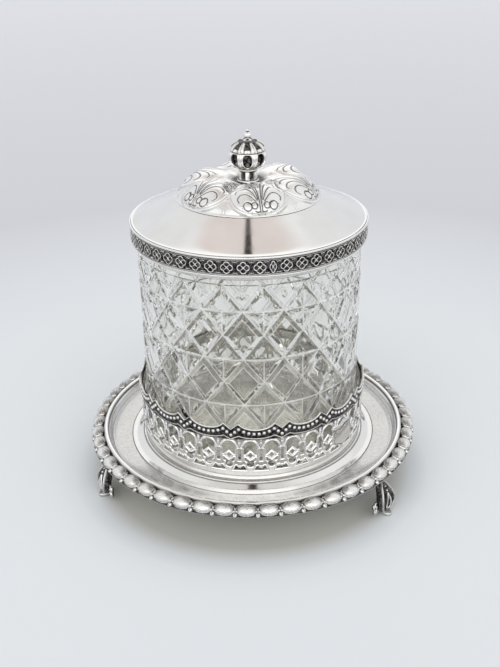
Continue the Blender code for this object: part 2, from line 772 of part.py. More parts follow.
def make_dome(silver):
    hole = STUD_RADIUS + GAP
    swell = DOME_CREST_RISE - DOME_WELL_RISE
    outline = [(hole, DOME_WELL_HEIGHT)]
    outline += [(DOME_RADIUS * r, DOME_WELL_HEIGHT + swell * z) for r, z in DOME_CREST_SHARES]
    outline += [(DOME_RADIUS * r, DOME_BASE + DOME_CREST_RISE * z) for r, z in DOME_EDGE_SHARES]
    dome = turned(outline, DOME_STEPS, DOME_SHEET)
    inner_end = DOME_RADIUS * DOME_CREST_SHARES[0][0]
    for vert in dome.data.vertices:
        radius = hypot(vert.co.x, vert.co.y)
        share = (radius - inner_end) / (DOME_RADIUS - inner_end)
        if 0 < share < 1:
            turn = azimuth_of(vert.co) - DOME_PHASE
            gutter = ((1 - cos(DOME_LOBES * turn)) / 2) ** 2
            vert.co.z -= DOME_GUTTER_DEPTH * gutter * sin(pi * share)
    return shade_round(place(dome, "lid_dome", silver))


def make_fixing(silver):
    """Stud, washer and nut that hold the finial through the dome and the lid."""
    under = SHOULDER_TOP + CROWN_RISE - LID_SHEET - GAP
    washer_bottom = under - WASHER_THICKNESS
    nut_top = washer_bottom - GAP
    nut_bottom = nut_top - NUT_HEIGHT
    low = nut_bottom - STUD_TIP_BELOW_NUT
    high = DOME_WELL_HEIGHT + GAP + STUD_DEPTH_IN_FINIAL
    bpy.ops.mesh.primitive_cylinder_add(
        vertices=ROD_SIDES,
        radius=STUD_RADIUS,
        depth=high - low,
        location=(0, 0, (high + low) / 2),
    )
    place(fixed_transform(bpy.context.object), "finial_stud", silver)
    hole = STUD_RADIUS + GAP
    washer = [(WASHER_RADIUS, under), (WASHER_RADIUS, washer_bottom), (hole, washer_bottom), (hole, under)]
    place(turned(washer, CAGE_STEPS, closed=True), "finial_washer", silver)
    nut = [(NUT_RADIUS, nut_top), (NUT_RADIUS, nut_bottom), (hole, nut_bottom), (hole, nut_top)]
    place(turned(nut, NUT_SIDES, closed=True), "finial_nut", silver)


def make_finial(silver, oxidised):
    base = DOME_WELL_HEIGHT + GAP
    flange_top = base + FINIAL_FLANGE_HEIGHT
    waist_top = flange_top + FINIAL_WAIST_HEIGHT
    collar_top = waist_top + FINIAL_COLLAR_HEIGHT
    bore = STUD_RADIUS + GAP
    bore_top = base + STUD_DEPTH_IN_FINIAL + GAP
    outline = [
        (0, collar_top),
        (FINIAL_WAIST_RADIUS, collar_top),
        (FINIAL_COLLAR_RADIUS, (collar_top + waist_top) / 2),
        (FINIAL_WAIST_RADIUS, waist_top),
        (FINIAL_WAIST_RADIUS, flange_top + FINIAL_FLANGE_HEIGHT),
        (FINIAL_FLANGE_RADIUS, flange_top),
        (FINIAL_FLANGE_RADIUS, base),
        (bore, base),
        (bore, bore_top),
        (0, bore_top),
    ]
    foot = turned(outline, FINIAL_STEPS)

    def flute_depth(radius, height):
        on_waist = flange_top < height < collar_top - GAP and radius < FINIAL_COLLAR_RADIUS - GAP
        return FINIAL_WAIST_RADIUS * FLUTE_DEPTH_SHARE if on_waist and radius > bore + GAP else 0.0

    ripple(foot, FINIAL_FLUTES, 0, flute_depth)
    shade_round(place(foot, "finial_base", silver))
    cage_base = collar_top + GAP
    make_cage(cage_base, silver, oxidised)
    make_roof(cage_base + CAGE_HEIGHT + GAP, silver)


def make_cage(base, silver, oxidised):
    """A bulb with arched windows, over a core with a jewel behind each window."""
    bulb = [(CAGE_RADIUS * r, base + CAGE_HEIGHT * z) for r, z in CAGE_SHARES]
    cage = turned(bulb, CAGE_STEPS, CAGE_SHEET)
    belly = CAGE_SHARES[2][1]
    middle = base + CAGE_HEIGHT * belly - WINDOW_HALF_HEIGHT / 4
    windows = []
    jewels = []
    reach = CAGE_RADIUS - JEWEL_RADIUS - GAP
    for step in range(WINDOW_COUNT):
        turn = tau * step / WINDOW_COUNT
        bpy.ops.mesh.primitive_cylinder_add(
            vertices=ROD_SIDES,
            radius=1,
            depth=4 * CAGE_SHEET,
            location=(CAGE_RADIUS * sin(turn), -CAGE_RADIUS * cos(turn), middle),
            rotation=(pi / 2, 0, turn),
        )
        window = bpy.context.object
        window.scale = (WINDOW_HALF_WIDTH, WINDOW_HALF_HEIGHT, 1)
        windows.append(window)
        bpy.ops.mesh.primitive_uv_sphere_add(
            segments=JEWEL_SIDES,
            ring_count=JEWEL_RINGS,
            radius=JEWEL_RADIUS,
            location=(reach * sin(turn), -reach * cos(turn), middle),
        )
        jewels.append(bpy.context.object)
    bpy.context.view_layer.update()
    cutter = hide_cutter(place(gathered(windows), "cage_windows", None, CUTTERS))
    shade_round(place(boolean(cage, cutter, "DIFFERENCE"), "finial_cage", silver))

    neck = CAGE_RADIUS * CAGE_SHARES[-1][0] - CAGE_SHEET - GAP
    shrink = CAGE_SHEET + GAP
    core = [(0, base + CAGE_HEIGHT)]
    core += [
        (CAGE_RADIUS * r - shrink, base + CAGE_HEIGHT * z + (shrink if z < belly else 0))
        for r, z in CAGE_SHARES[:-1]
    ]
    core += [(neck, base + shrink), (neck, base), (0, base)]
    heart = turned(core, CAGE_STEPS)
    inner = joined("finial_core", [heart, gathered(jewels)])
    shade_round(place(inner, "finial_core", oxidised))


def make_roof(base, silver):
    """A tented roof with a scalloped eave, its neck, and the ball with a pip on top."""
    top = base + ROOF_HEIGHT
    eave = base + ROOF_EAVE
    outline = [
        (0, top),
        (ROOF_NECK_RADIUS * 4 / 5, top),
        (ROOF_NECK_RADIUS, base + ROOF_HEIGHT * 3 / 4),
        (ROOF_RADIUS / 2, base + ROOF_HEIGHT * 2 / 5),
        (ROOF_RADIUS, eave),
        (ROOF_RADIUS, base),
        (0, base),
    ]
    roof = turned(outline, FINIAL_STEPS)

    def scallop(radius, height):
        return ROOF_RADIUS * ROOF_SCALLOP_SHARE if radius > ROOF_RADIUS - WELD else 0.0

    shade_round(place(ripple(roof, WINDOW_COUNT, 0, scallop), "finial_roof", silver))
    centre = top + GAP + BALL_RADIUS
    bpy.ops.mesh.primitive_uv_sphere_add(
        segments=BALL_SIDES, ring_count=BALL_RINGS, radius=BALL_RADIUS, location=(0, 0, centre)
    )
    ball = fixed_transform(bpy.context.object)
    bpy.ops.mesh.primitive_uv_sphere_add(
        segments=JEWEL_SIDES, ring_count=JEWEL_RINGS, radius=PIP_RADIUS, location=(0, 0, centre + BALL_RADIUS)
    )
    pip = fixed_transform(bpy.context.object)
    place(joined("finial_ball", [ball, pip]), "finial_ball", silver)


def main():
    clear_scene()
    silver = material("silver_plate", (0.86, 0.85, 0.83), 0.12, 1.0)
    oxidised = material("oxidised_silver", (0.16, 0.15, 0.14), 0.35, 1.0)
    glass = material("cut_glass", (0.95, 0.96, 0.95), 0.02, 0.0, 1.0)
    make_tray(silver)
    make_border(silver)
    make_gallery(silver)
    make_crest(oxidised)
    make_feet(silver)
    make_jar(glass)
    make_lid(silver, oxidised)
    make_dome(silver)
    make_fixing(silver)
    make_finial(silver, oxidised)


main()
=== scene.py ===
import json
from math import atan2, cos, pi, radians, sin, tau

import bmesh
import bpy
import numpy as np
from mathutils import Matrix, Vector

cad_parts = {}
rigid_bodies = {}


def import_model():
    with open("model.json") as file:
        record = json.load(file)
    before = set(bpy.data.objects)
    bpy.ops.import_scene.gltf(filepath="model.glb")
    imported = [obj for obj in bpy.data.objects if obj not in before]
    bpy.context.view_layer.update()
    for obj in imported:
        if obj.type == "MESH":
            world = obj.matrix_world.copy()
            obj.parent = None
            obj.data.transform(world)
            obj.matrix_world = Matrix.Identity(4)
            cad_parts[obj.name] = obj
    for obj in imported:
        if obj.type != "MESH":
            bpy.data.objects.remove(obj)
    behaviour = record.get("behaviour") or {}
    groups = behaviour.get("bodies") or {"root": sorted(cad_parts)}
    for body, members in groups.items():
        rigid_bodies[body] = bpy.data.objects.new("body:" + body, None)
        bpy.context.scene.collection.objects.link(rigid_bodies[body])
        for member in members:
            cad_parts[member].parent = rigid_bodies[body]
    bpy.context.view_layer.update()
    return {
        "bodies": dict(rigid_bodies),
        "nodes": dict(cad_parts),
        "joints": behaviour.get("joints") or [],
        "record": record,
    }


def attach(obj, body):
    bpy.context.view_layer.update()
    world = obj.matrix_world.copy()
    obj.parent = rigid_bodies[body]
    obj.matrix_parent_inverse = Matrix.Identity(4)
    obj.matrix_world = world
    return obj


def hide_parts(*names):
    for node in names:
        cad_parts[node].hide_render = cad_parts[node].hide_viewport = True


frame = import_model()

# The looks of the biscuit jar, built round the imported frame. Lengths are in millimetres, and Form.made
# turns them into metres. +Z is up and the front is -Y. An azimuth is the angle round the jar from the
# front, positive towards +X. A tone is how dark a surface is drawn, from 0 to 1: tarnish and oxide in
# the hollows, and in places painted shade. On the glass a tone above 0 greys it as painted shade, and a
# tone below 0 whitens it as painted highlights.

MM = 0.001


# Sizes read from the frame


def vertices(node):
    """The points of a CAD node."""
    return np.array([vert.co for vert in frame["nodes"][node].data.vertices]) / MM


def reach(node):
    """Largest radius, lowest and highest point of a CAD node."""
    points = vertices(node)
    return np.hypot(points[:, 0], points[:, 1]).max(), points[:, 2].min(), points[:, 2].max()


def platform_height():
    """Height of the tray under the jar: its highest vertex within a millimetre of the axis."""
    points = vertices("tray_dish")
    return points[np.hypot(points[:, 0], points[:, 1]) < 1, 2].max()


JAR_RADIUS, JAR_BOTTOM, JAR_TOP = reach("glass_jar")
WALL_RADIUS, _, WALL_TOP = reach("gallery_wall")
CREST_RADIUS, CREST_BOTTOM, CREST_TOP = reach("gallery_crest")
BORDER_RADIUS, _, _ = reach("tray_border")
SHELL_RADIUS, SHELL_BOTTOM, SHELL_TOP = reach("lid_shell")
BAND_RADIUS, BAND_BOTTOM, BAND_TOP = reach("lid_band")
BEZEL_RADIUS, BEZEL_BOTTOM, BEZEL_TOP = reach("lid_bezel")
DOME_RADIUS, DOME_BOTTOM, DOME_TOP = reach("lid_dome")
FLANGE_RADIUS, FLANGE_BOTTOM, FLANGE_TOP = reach("finial_base")
CAGE_RADIUS, CAGE_BOTTOM, CAGE_TOP = reach("finial_cage")
ROOF_RADIUS, ROOF_BOTTOM, ROOF_TOP = reach("finial_roof")
_, BALL_BOTTOM, BALL_TOP = reach("finial_ball")
STUD_RADIUS, STUD_BOTTOM, STUD_TOP = reach("finial_stud")
FLOOR = platform_height()


# Lines and places

SAME = 1e-7  # points nearer than this are one
FILL_SAME = 1e-6  # the same for the points of a filled plate
CORNER_GRID = 1e-4  # corners of a filled plate are found again on this grid
WELD_GRID = 2e-3  # welded points are joined on this grid


def polar(radius, azimuth, height):
    """Points from radius, azimuth and height, which may be arrays of fitting shapes."""
    radius, azimuth, height = np.broadcast_arrays(radius, azimuth, height)
    return np.stack([radius * np.sin(azimuth), -radius * np.cos(azimuth), height], axis=-1)


def directions(azimuth):
    """The ways to the right, up and out at these azimuths."""
    out = polar(1.0, azimuth, 0.0)
    up = np.broadcast_to((0.0, 0.0, 1.0), out.shape)
    return np.cross(up, out), up, out


def around(count, phase=0.0):
    """Azimuths at even steps all round."""
    return np.arange(count) / count * tau + phase


def unit(vectors):
    return vectors / np.maximum(np.linalg.norm(vectors, axis=-1, keepdims=True), 1e-12)


def held(value):
    """The value, held between 0 and 1."""
    return np.clip(value, 0, 1)


def bump_of(away, width):
    """A smooth bump of height 1 and this half width."""
    return np.where(away < width, (1 + np.cos(pi * away / width)) / 2, 0.0)


def squarer(value, power):
    """A sine or cosine that makes a circle squarer, the more the lower the power."""
    return np.sign(value) * np.abs(value) ** power


def moved(outline, radius, height):
    """An outline moved out and up."""
    return np.array(outline, float) + (radius, height)


def way_along(line):
    """The way along a line at each of its points."""
    return np.concatenate([[0], np.cumsum(np.linalg.norm(np.diff(line, axis=0), axis=1))])


def rounded(points, rounds=3, closed=False):
    """A line with its corners cut round. A point given twice keeps its corner."""
    line = np.array(points, float)
    for _ in range(rounds):
        ahead = np.roll(line, -1, axis=0) if closed else line[1:]
        here = line if closed else line[:-1]
        cut = np.stack([0.75 * here + 0.25 * ahead, 0.25 * here + 0.75 * ahead], axis=1)
        cut = cut.reshape(-1, line.shape[1])
        line = cut if closed else np.vstack([line[:1], cut, line[-1:]])
    apart = np.linalg.norm(np.roll(line, -1, axis=0) - line, axis=1) > SAME
    apart[-1] |= not closed
    return line[apart]


def resampled(line, count, closed=False):
    """The line with this many points at even steps."""
    line = np.asarray(line, float)
    if closed:
        line = np.vstack([line, line[:1]])
    way = way_along(line)
    at = np.linspace(0, way[-1], count, endpoint=not closed)
    return np.stack([np.interp(at, way, line[:, k]) for k in range(line.shape[1])], axis=1)


def circle(x, y, radius, start=0.0, end=360.0, count=16):
    """Points of an arc, anticlockwise, in degrees from +x. A full circle doesn't repeat its start."""
    turns = np.radians(np.linspace(start, end, count, endpoint=end - start < 360))
    return np.stack([x + radius * np.cos(turns), y + radius * np.sin(turns)], axis=1)


def mirrored(line):
    """An open line from the middle out, with its mirror image to the left, as one closed outline."""
    line = np.asarray(line, float)
    other = line[::-1] * (-1, 1)
    return np.vstack([line, other[np.abs(other[:, 0]) > SAME]])


def spiral(x, y, start_radius, end_radius, start, turns, count):
    """A volute's centre line, from its outer end in."""
    share = np.linspace(0, 1, count)
    angle = radians(start) + share * turns * tau
    radius = start_radius + (end_radius - start_radius) * share**0.8
    return np.stack([x + radius * np.cos(angle), y + radius * np.sin(angle)], axis=1)


def distance(points, lines):
    """Distance of points[..., 2] to the nearest of these open lines."""
    best = np.full(points.shape[:-1], np.inf)
    for line in lines:
        for start, end in zip(line[:-1], line[1:]):
            step = end - start
            share = held((points - start) @ step / max(step @ step, 1e-12))
            best = np.minimum(best, np.linalg.norm(points - start - share[..., None] * step, axis=-1))
    return best


def laid(line, turns, radius, height, out=0.0):
    """A flat line laid round the jar at each turn, as paths[turn, point], and the way out there."""
    line = np.asarray(line, float)
    azimuth = turns[:, None] + line[:, 0] / radius
    return polar(radius + out, azimuth, height + line[:, 1]), polar(1.0, azimuth, 0.0)


# Meshes


class Form:
    """Points with their tones, and faces, gathered for one piece."""

    def __init__(self):
        self.points, self.tones, self.count = [], [], 0
        self.quads, self.triangles = [np.zeros((0, 4), int)], [np.zeros((0, 3), int)]

    def add(self, points, tone=0.0):
        points = np.asarray(points, float)
        self.points.append(points.reshape(-1, 3))
        self.tones.append(np.broadcast_to(tone, points.shape[:-1]).ravel())
        index = np.arange(points[..., 0].size).reshape(points.shape[:-1]) + self.count
        self.count += index.size
        return index

    def grid(self, points, tone=0.0, wrap_rows=False, wrap_columns=False, falling=None):
        """Sheets over points[..., row, column]. Rows run down and columns right, seen from the front.

        With falling, each square is cut in two, from its upper left corner where falling is true."""
        index = full = self.add(points, tone)
        if wrap_rows:
            full = np.concatenate([full, full[..., :1, :]], axis=-2)
        if wrap_columns:
            full = np.concatenate([full, full[..., :1]], axis=-1)
        corners = [full[..., :-1, :-1], full[..., 1:, :-1], full[..., 1:, 1:], full[..., :-1, 1:]]
        corners = np.stack(corners, axis=-1)
        if falling is None:
            self.quads.append(corners.reshape(-1, 4))
        else:
            self.triangles.append(corners[falling][:, [0, 1, 2, 0, 2, 3]].reshape(-1, 3))
            self.triangles.append(corners[~falling][:, [0, 1, 3, 1, 2, 3]].reshape(-1, 3))
        return index

    def fan(self, rings, centres, tone=0.0, flip=False):
        """Closes rings of point numbers [..., column] with one centre point each."""
        middle = self.add(centres, tone)[..., None]
        after = np.roll(rings, -1, axis=-1)
        pair = (after, rings) if flip else (rings, after)
        sides = np.stack([*pair, np.broadcast_to(middle, rings.shape)], axis=-1)
        self.triangles.append(sides.reshape(-1, 3))

    def closed_grid(self, points, first, last, tone=0.0, ends=(0.0, 0.0), falling=None):
        """A sheet wrapped round, its first and last rows closed by a point each."""
        index = self.grid(points, tone, wrap_columns=True, falling=falling)
        self.fan(index[0], first, ends[0])
        self.fan(index[-1], last, ends[1], flip=True)

    def turned(self, outline, steps=240, tone=0.0, closed=False):
        """An outline of (radius, height) turned round Z. It runs out over the top and down outside."""
        line = np.asarray(outline, float)
        tone = np.broadcast_to(tone, len(line))
        starts, ends = line[0, 0] < SAME, line[-1, 0] < SAME
        rows = slice(1 if starts else 0, len(line) - 1 if ends else len(line))
        points = polar(line[rows, :1], around(steps), line[rows, 1:])
        index = self.grid(points, tone[rows, None], wrap_rows=closed, wrap_columns=True)
        if starts:
            self.fan(index[0], (0, 0, line[0, 1]), tone[0])
        if ends:
            self.fan(index[-1], (0, 0, line[-1, 1]), tone[-1], flip=True)

    def tube(self, paths, outward, radius, tone=0.0, sides=6, closed=True):
        """Round wires along paths[..., point, 3]; outward is a direction away from their base."""
        paths = np.asarray(paths, float)
        if closed:
            along = unit(np.roll(paths, -1, axis=-2) - np.roll(paths, 1, axis=-2))
        else:
            along = unit(np.gradient(paths, axis=-2))
        side = unit(np.cross(along, np.broadcast_to(outward, paths.shape)))
        out = np.cross(side, along)
        turn = -around(sides)[:, None]
        radius = np.broadcast_to(radius, paths.shape[:-1])[..., None, None]
        ring = out[..., None, :] * np.cos(turn) + side[..., None, :] * np.sin(turn)
        tone = np.broadcast_to(tone, paths.shape[:-1])[..., None]
        points = paths[..., None, :] + radius * ring
        index = self.grid(points, tone, wrap_rows=closed, wrap_columns=True)
        if not closed:
            self.fan(index[..., 0, :], paths[..., 0, :], tone[..., 0, 0])
            self.fan(index[..., -1, :], paths[..., -1, :], tone[..., -1, 0], flip=True)

    def blobs(self, centres, axes, half, tone=0.0, rings=5, sides=12, whole=False):
        """Rounded beads, half ones or whole. Half their width, height and depth run along the axes."""
        centres = np.asarray(centres, float)[..., None, None, :]
        wide, high, deep = (
            size * np.asarray(axis, float)[..., None, None, :] for size, axis in zip(half, axes)
        )
        last = pi * rings / (rings + 1) if whole else pi / 2
        bow = np.linspace(last / rings, last, rings)[:, None, None]
        turn = around(sides)[None, :, None]
        points = centres + wide * np.sin(bow) * np.cos(turn) + high * np.sin(bow) * np.sin(turn)
        index = self.grid(points + deep * np.cos(bow), tone, wrap_columns=True)
        self.fan(index[..., 0, :], (centres + deep)[..., 0, 0, :], tone)
        if whole:
            self.fan(index[..., -1, :], (centres - deep)[..., 0, 0, :], tone, flip=True)

    def welded(self):
        """Points, tones, quads and triangles, with points at one place joined to one."""
        points, tones = np.concatenate(self.points), np.concatenate(self.tones)
        spots = np.round(points / WELD_GRID).astype(np.int64)
        _, first, same = np.unique(spots, axis=0, return_index=True, return_inverse=True)
        same = same.ravel()
        quads, triangles = same[np.concatenate(self.quads)], same[np.concatenate(self.triangles)]
        return points[first], tones[first], quads, triangles

    def made(self, name, body, finish, slot, nodes, weld=False, sharp=35):
        """The gathered mesh as a piece that rides on a body and stands for CAD nodes."""
        if weld:
            points, tones, quads, triangles = self.welded()
        else:
            gathered = (self.points, self.tones, self.quads, self.triangles)
            points, tones, quads, triangles = (np.concatenate(part) for part in gathered)
        loops = np.concatenate([quads.ravel(), triangles.ravel()])
        starts = [np.arange(len(quads)) * 4, quads.size + np.arange(len(triangles)) * 3]
        starts = np.concatenate(starts)
        mesh = bpy.data.meshes.new(name)
        mesh.vertices.add(len(points))
        mesh.vertices.foreach_set("co", (points * MM).astype(np.float32).ravel())
        mesh.loops.add(len(loops))
        mesh.loops.foreach_set("vertex_index", loops.astype(np.int32))
        mesh.polygons.add(len(starts))
        mesh.polygons.foreach_set("loop_start", starts.astype(np.int32))
        mesh.update(calc_edges=True)
        mesh.validate()
        mesh.attributes.new("tarnish", "FLOAT", "POINT").data.foreach_set("value", tones.astype(np.float32))
        mesh.shade_smooth()
        mesh.set_sharp_from_angle(angle=radians(sharp))
        obj = bpy.data.objects.new(name, mesh)
        bpy.context.scene.collection.objects.link(obj)
        obj.data.materials.append(finish)
        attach(obj, body)
        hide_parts(*nodes)


def filled(outlines, low, high, step, open_ends):
    """Points and triangles of a flat plate with holes, x across and y up, from z low to z high.

    It is cut across at even steps, and has no wall between corners that are in open_ends."""
    curve = bpy.data.curves.new("plate", "CURVE")
    curve.dimensions = "2D"
    curve.fill_mode = "BOTH"
    curve.extrude = (high - low) / 2
    for line in outlines:
        spline = curve.splines.new("POLY")
        spline.points.add(len(line) - 1)
        for point, (x, y) in zip(spline.points, line):
            point.co = (x, y, 0, 1)
        spline.use_cyclic_u = True
    obj = bpy.data.objects.new("plate", curve)
    bpy.context.scene.collection.objects.link(obj)
    graph = bpy.context.evaluated_depsgraph_get()
    mesh = bpy.data.meshes.new_from_object(obj.evaluated_get(graph))
    shape = bmesh.new()
    shape.from_mesh(mesh)
    bmesh.ops.remove_doubles(shape, verts=shape.verts, dist=FILL_SAME)

    def corner(x, y):
        return round(x / CORNER_GRID), round(y / CORNER_GRID)

    ends = {corner(x, y) for x, y in open_ends}
    walls = [
        face for face in shape.faces
        if abs(face.normal.z) < 0.5 and all(corner(v.co.x, v.co.y) in ends for v in face.verts)
    ]
    bmesh.ops.delete(shape, geom=walls, context="FACES_ONLY")
    cut = min(vert.co.x for vert in shape.verts) + step
    right = max(vert.co.x for vert in shape.verts)
    while cut < right:
        everything = shape.verts[:] + shape.edges[:] + shape.faces[:]
        bmesh.ops.bisect_plane(shape, geom=everything, dist=SAME, plane_co=(cut, 0, 0), plane_no=(1, 0, 0))
        cut += step
    bmesh.ops.recalc_face_normals(shape, faces=shape.faces)
    bmesh.ops.triangulate(shape, faces=shape.faces)
    points = np.array([vert.co for vert in shape.verts])
    points[:, 2] += (high + low) / 2
    triangles = np.array([[vert.index for vert in face.verts] for face in shape.faces])
    shape.free()
    bpy.data.objects.remove(obj)
    bpy.data.curves.remove(curve)
    bpy.data.meshes.remove(mesh)
    return points, triangles


# Materials

VEIL_SCALE = 55.0
PATCHES = (700.0, 0.82, 1.12)  # scale of the patches in the tarnish and painted shade, and their least and greatest strength
WEAR_SCALE, WEAR_DETAIL = 120.0, 5.0
TARNISH_ROUGHNESS = 0.3
GRAIN = (1500.0, 6.0, 0.0001)  # scale, detail and depth of the fine scratches
GLASS_CLEAR = (1.0, 0.998, 0.974)
# The grey of the painted shade in the glass.
GLASS_SHADE_GREY = (0.44, 0.43, 0.385)
GLASS_SCALE = 90.0
GLASS_MOTTLE = (0.8, 1.2)
GLASS_ROUGHNESS = (0.0, 0.02)
GLASS_WAVES = (140.0, 1.0, 0.0004)


def fill(tree, node, sockets):
    """Gives sockets, by name or number, their constant, colour or link."""
    for key, value in sockets.items():
        if isinstance(value, bpy.types.NodeSocket):
            tree.links.new(value, node.inputs[key])
        elif isinstance(value, tuple):
            node.inputs[key].default_value = (*value, 1)
        else:
            node.inputs[key].default_value = value


def node_of(tree, kind, sockets=None, **settings):
    """A new shader node with its settings made and its sockets filled."""
    node = tree.nodes.new(kind)
    for key, value in settings.items():
        setattr(node, key, value)
    fill(tree, node, sockets or {})
    return node


def calculated(tree, operation, *values):
    return node_of(tree, "ShaderNodeMath", dict(enumerate(values)), operation=operation).outputs[0]


def mixed(tree, share, first, second):
    sockets = {"Factor": share, "A": first, "B": second}
    return node_of(tree, "ShaderNodeMix", sockets, data_type="RGBA").outputs["Result"]


def noise_of(tree, place, scale, detail):
    sockets = {"Vector": place, "Scale": scale, "Detail": detail}
    return node_of(tree, "ShaderNodeTexNoise", sockets).outputs["Fac"]


def mixed_noise(tree, place, scale, low, high, detail=3.0):
    """Noise over the surface, stretched to run from low to high."""
    noise = noise_of(tree, place, scale, detail)
    sockets = {"Value": noise, "From Min": 0.3, "From Max": 0.7, "To Min": low, "To Max": high}
    return node_of(tree, "ShaderNodeMapRange", sockets).outputs["Result"]


def bumped(tree, place, size, strength):
    """The normal of a surface with noise on it, of this scale, detail and depth."""
    scale, detail, depth = size
    sockets = {"Height": noise_of(tree, place, scale, detail), "Strength": strength, "Distance": depth}
    return node_of(tree, "ShaderNodeBump", sockets).outputs["Normal"]


def material(name):
    """A material with its tree, its shader, its object coordinates and its tarnish."""
    made = bpy.data.materials.new(name)
    made.use_nodes = True
    tree = made.node_tree
    place = node_of(tree, "ShaderNodeTexCoord").outputs["Object"]
    tarnish = node_of(tree, "ShaderNodeAttribute", attribute_name="tarnish").outputs["Fac"]
    return made, tree, tree.nodes["Principled BSDF"], place, tarnish


def silver(name, bright, dull, dark, polish, worn, grain):
    """Plated silver, dark where its tone is high, which is tarnish in the hollows and painted shade in
    places, with a thin uneven veil over it all.
    """
    made, tree, shader, place, tarnish = material(name)
    base = mixed(tree, mixed_noise(tree, place, VEIL_SCALE, 0.0, 1.0), bright, dull)
    patchy = calculated(tree, "MULTIPLY", tarnish, mixed_noise(tree, place, *PATCHES))
    patchy = calculated(tree, "MINIMUM", patchy, 1.0)
    smooth = mixed_noise(tree, place, WEAR_SCALE, polish, worn, WEAR_DETAIL)
    fill(tree, shader, {
        "Metallic": 1.0,
        "Base Color": mixed(tree, patchy, base, dark),
        "Roughness": calculated(tree, "ADD", smooth, calculated(tree, "MULTIPLY", patchy, TARNISH_ROUGHNESS)),
        "Normal": bumped(tree, place, GRAIN, grain),
    })
    return made


def glass():
    """Clear glass. Its tone attribute greys it above 0, as painted shade, and whitens it below 0, as painted
    highlights on the cut edges.
    """
    made, tree, shader, place, shade = material("cut_glass_clear")
    mottled = calculated(tree, "MULTIPLY", shade, mixed_noise(tree, place, GLASS_SCALE, *GLASS_MOTTLE))
    white = calculated(tree, "MAXIMUM", calculated(tree, "MULTIPLY", mottled, -1.0), 0.0)
    fill(tree, shader, {
        "IOR": 1.5,
        "Base Color": mixed(tree, calculated(tree, "MAXIMUM", mottled, 0.0), GLASS_CLEAR, GLASS_SHADE_GREY),
        "Transmission Weight": calculated(tree, "SUBTRACT", 1.0, white),
        "Roughness": mixed_noise(tree, place, GLASS_SCALE, *GLASS_ROUGHNESS),
        "Normal": bumped(tree, place, GLASS_WAVES, 0.1),
    })
    return made


# The dark that the tone mixes into polished and chased silver: tarnish in the hollows, and painted shade in
# places.
TARNISH_AND_SHADE = (0.045, 0.04, 0.036)
CLEAN, CLEAN_DULL = (0.97, 0.967, 0.96), (0.94, 0.935, 0.925)
POLISHED = silver("silver_polished", (0.95, 0.945, 0.935), (0.90, 0.89, 0.875), TARNISH_AND_SHADE, 0.05, 0.12, 0.03)
CAST = silver("silver_cast", (0.95, 0.94, 0.925), (0.87, 0.855, 0.83), (0.035, 0.031, 0.028), 0.08, 0.2, 0.1)
CHASED = silver("silver_chased", CLEAN, CLEAN_DULL, TARNISH_AND_SHADE, 0.2, 0.3, 0.08)
PIERCED = silver("silver_pierced", CLEAN, CLEAN_DULL, (0.05, 0.045, 0.04), 0.07, 0.12, 0.06)
OXIDE = (0.014, 0.012, 0.011)
OXIDISED = silver("silver_oxidised", (0.93, 0.92, 0.90), (0.84, 0.825, 0.80), OXIDE, 0.1, 0.24, 0.12)
GLASS = glass()


# Tray

TRAY_PLATFORM = [(-1.2, 0), (-1.2, 0), (-0.6, 0), (-0.6, 0)]
TRAY_TOP = [  # distance out from the gallery wall, rise above the jar's floor
    (0.45, 0), (0.45, 0), (0.9, -0.05), (4.6, -2.2), (5.6, -2.5), (8.5, -2.6), (8.75, -2.6), (8.95, -3.0),
    (9.25, -2.6), (10.2, -2.5), (15.5, -2.55), (19.5, -1.9), (22.0, -0.6), (22.3, -0.62), (22.6, -0.2),
    (23.9, 1.3), (24.4, 2.2), (24.9, 3.0), (25.05, 3.3), (25.3, 4.4), (26.1, 5.1), (27.0, 5.25), (27.9, 4.9),
    (28.5, 3.9), (28.9, 2.1), (29.5, 1.05), (30.6, 1.0), (33.4, 1.0), (33.4, 1.0),
]
TRAY_SHEET = 1.2
TRAY_MIDDLE = 10
TRAY_LINES = ((0.9, 0.5), (8.95, 0.35), (22.3, 0.2), (25.2, 0.45), (28.7, 0.75))  # distance out, width
TRAY_TONES = [(5.2, 0.0), (5.6, 0.16), (9.0, 0.16), (9.2, 0.37), (24.2, 0.37), (24.4, 0.0)]
# The tray under the jar is painted darker: painted shade under the jar's floor.
PLATFORM_EDGE, PLATFORM_SHADE = -0.9, 0.24
# The last of these darkens the tray's underside: dull unpolished plate, and painted shade under the tray.
LINE_TONE, LINE_SPREAD, UNDER_DULL_AND_SHADE = 0.85, 1.6, 0.55
TRAY_STEPS = 256


def make_tray():
    form = Form()
    top = rounded([(-WALL_RADIUS, 0), (-WALL_RADIUS, 0), *TRAY_PLATFORM, *TRAY_TOP], 3)
    under = [(x, z - TRAY_SHEET) for x, z in reversed(TRAY_TOP[:-1])]
    under = rounded([*under, (-TRAY_MIDDLE, -TRAY_SHEET), (-WALL_RADIUS, -TRAY_SHEET)], 2)
    line = np.vstack([top, under])
    tone = np.interp(line[:, 0], *np.transpose(TRAY_TONES))
    # Painted shade on the platform under the jar.
    tone[line[:, 0] < PLATFORM_EDGE] = PLATFORM_SHADE
    for at, width in TRAY_LINES:
        tone = np.maximum(tone, LINE_TONE * bump_of(np.abs(line[:, 0] - at), LINE_SPREAD * width))
    # The underside: dull unpolished plate and painted shade.
    tone[len(top):] = UNDER_DULL_AND_SHADE
    outline = moved(line, WALL_RADIUS, FLOOR)
    outline[[0, -1], 0] = 0.0
    form.turned(outline, TRAY_STEPS, tone)
    form.made("tray_dish_spun", "stand", POLISHED, "silver_plate", ["tray_dish"])


# Border of eggs and beads

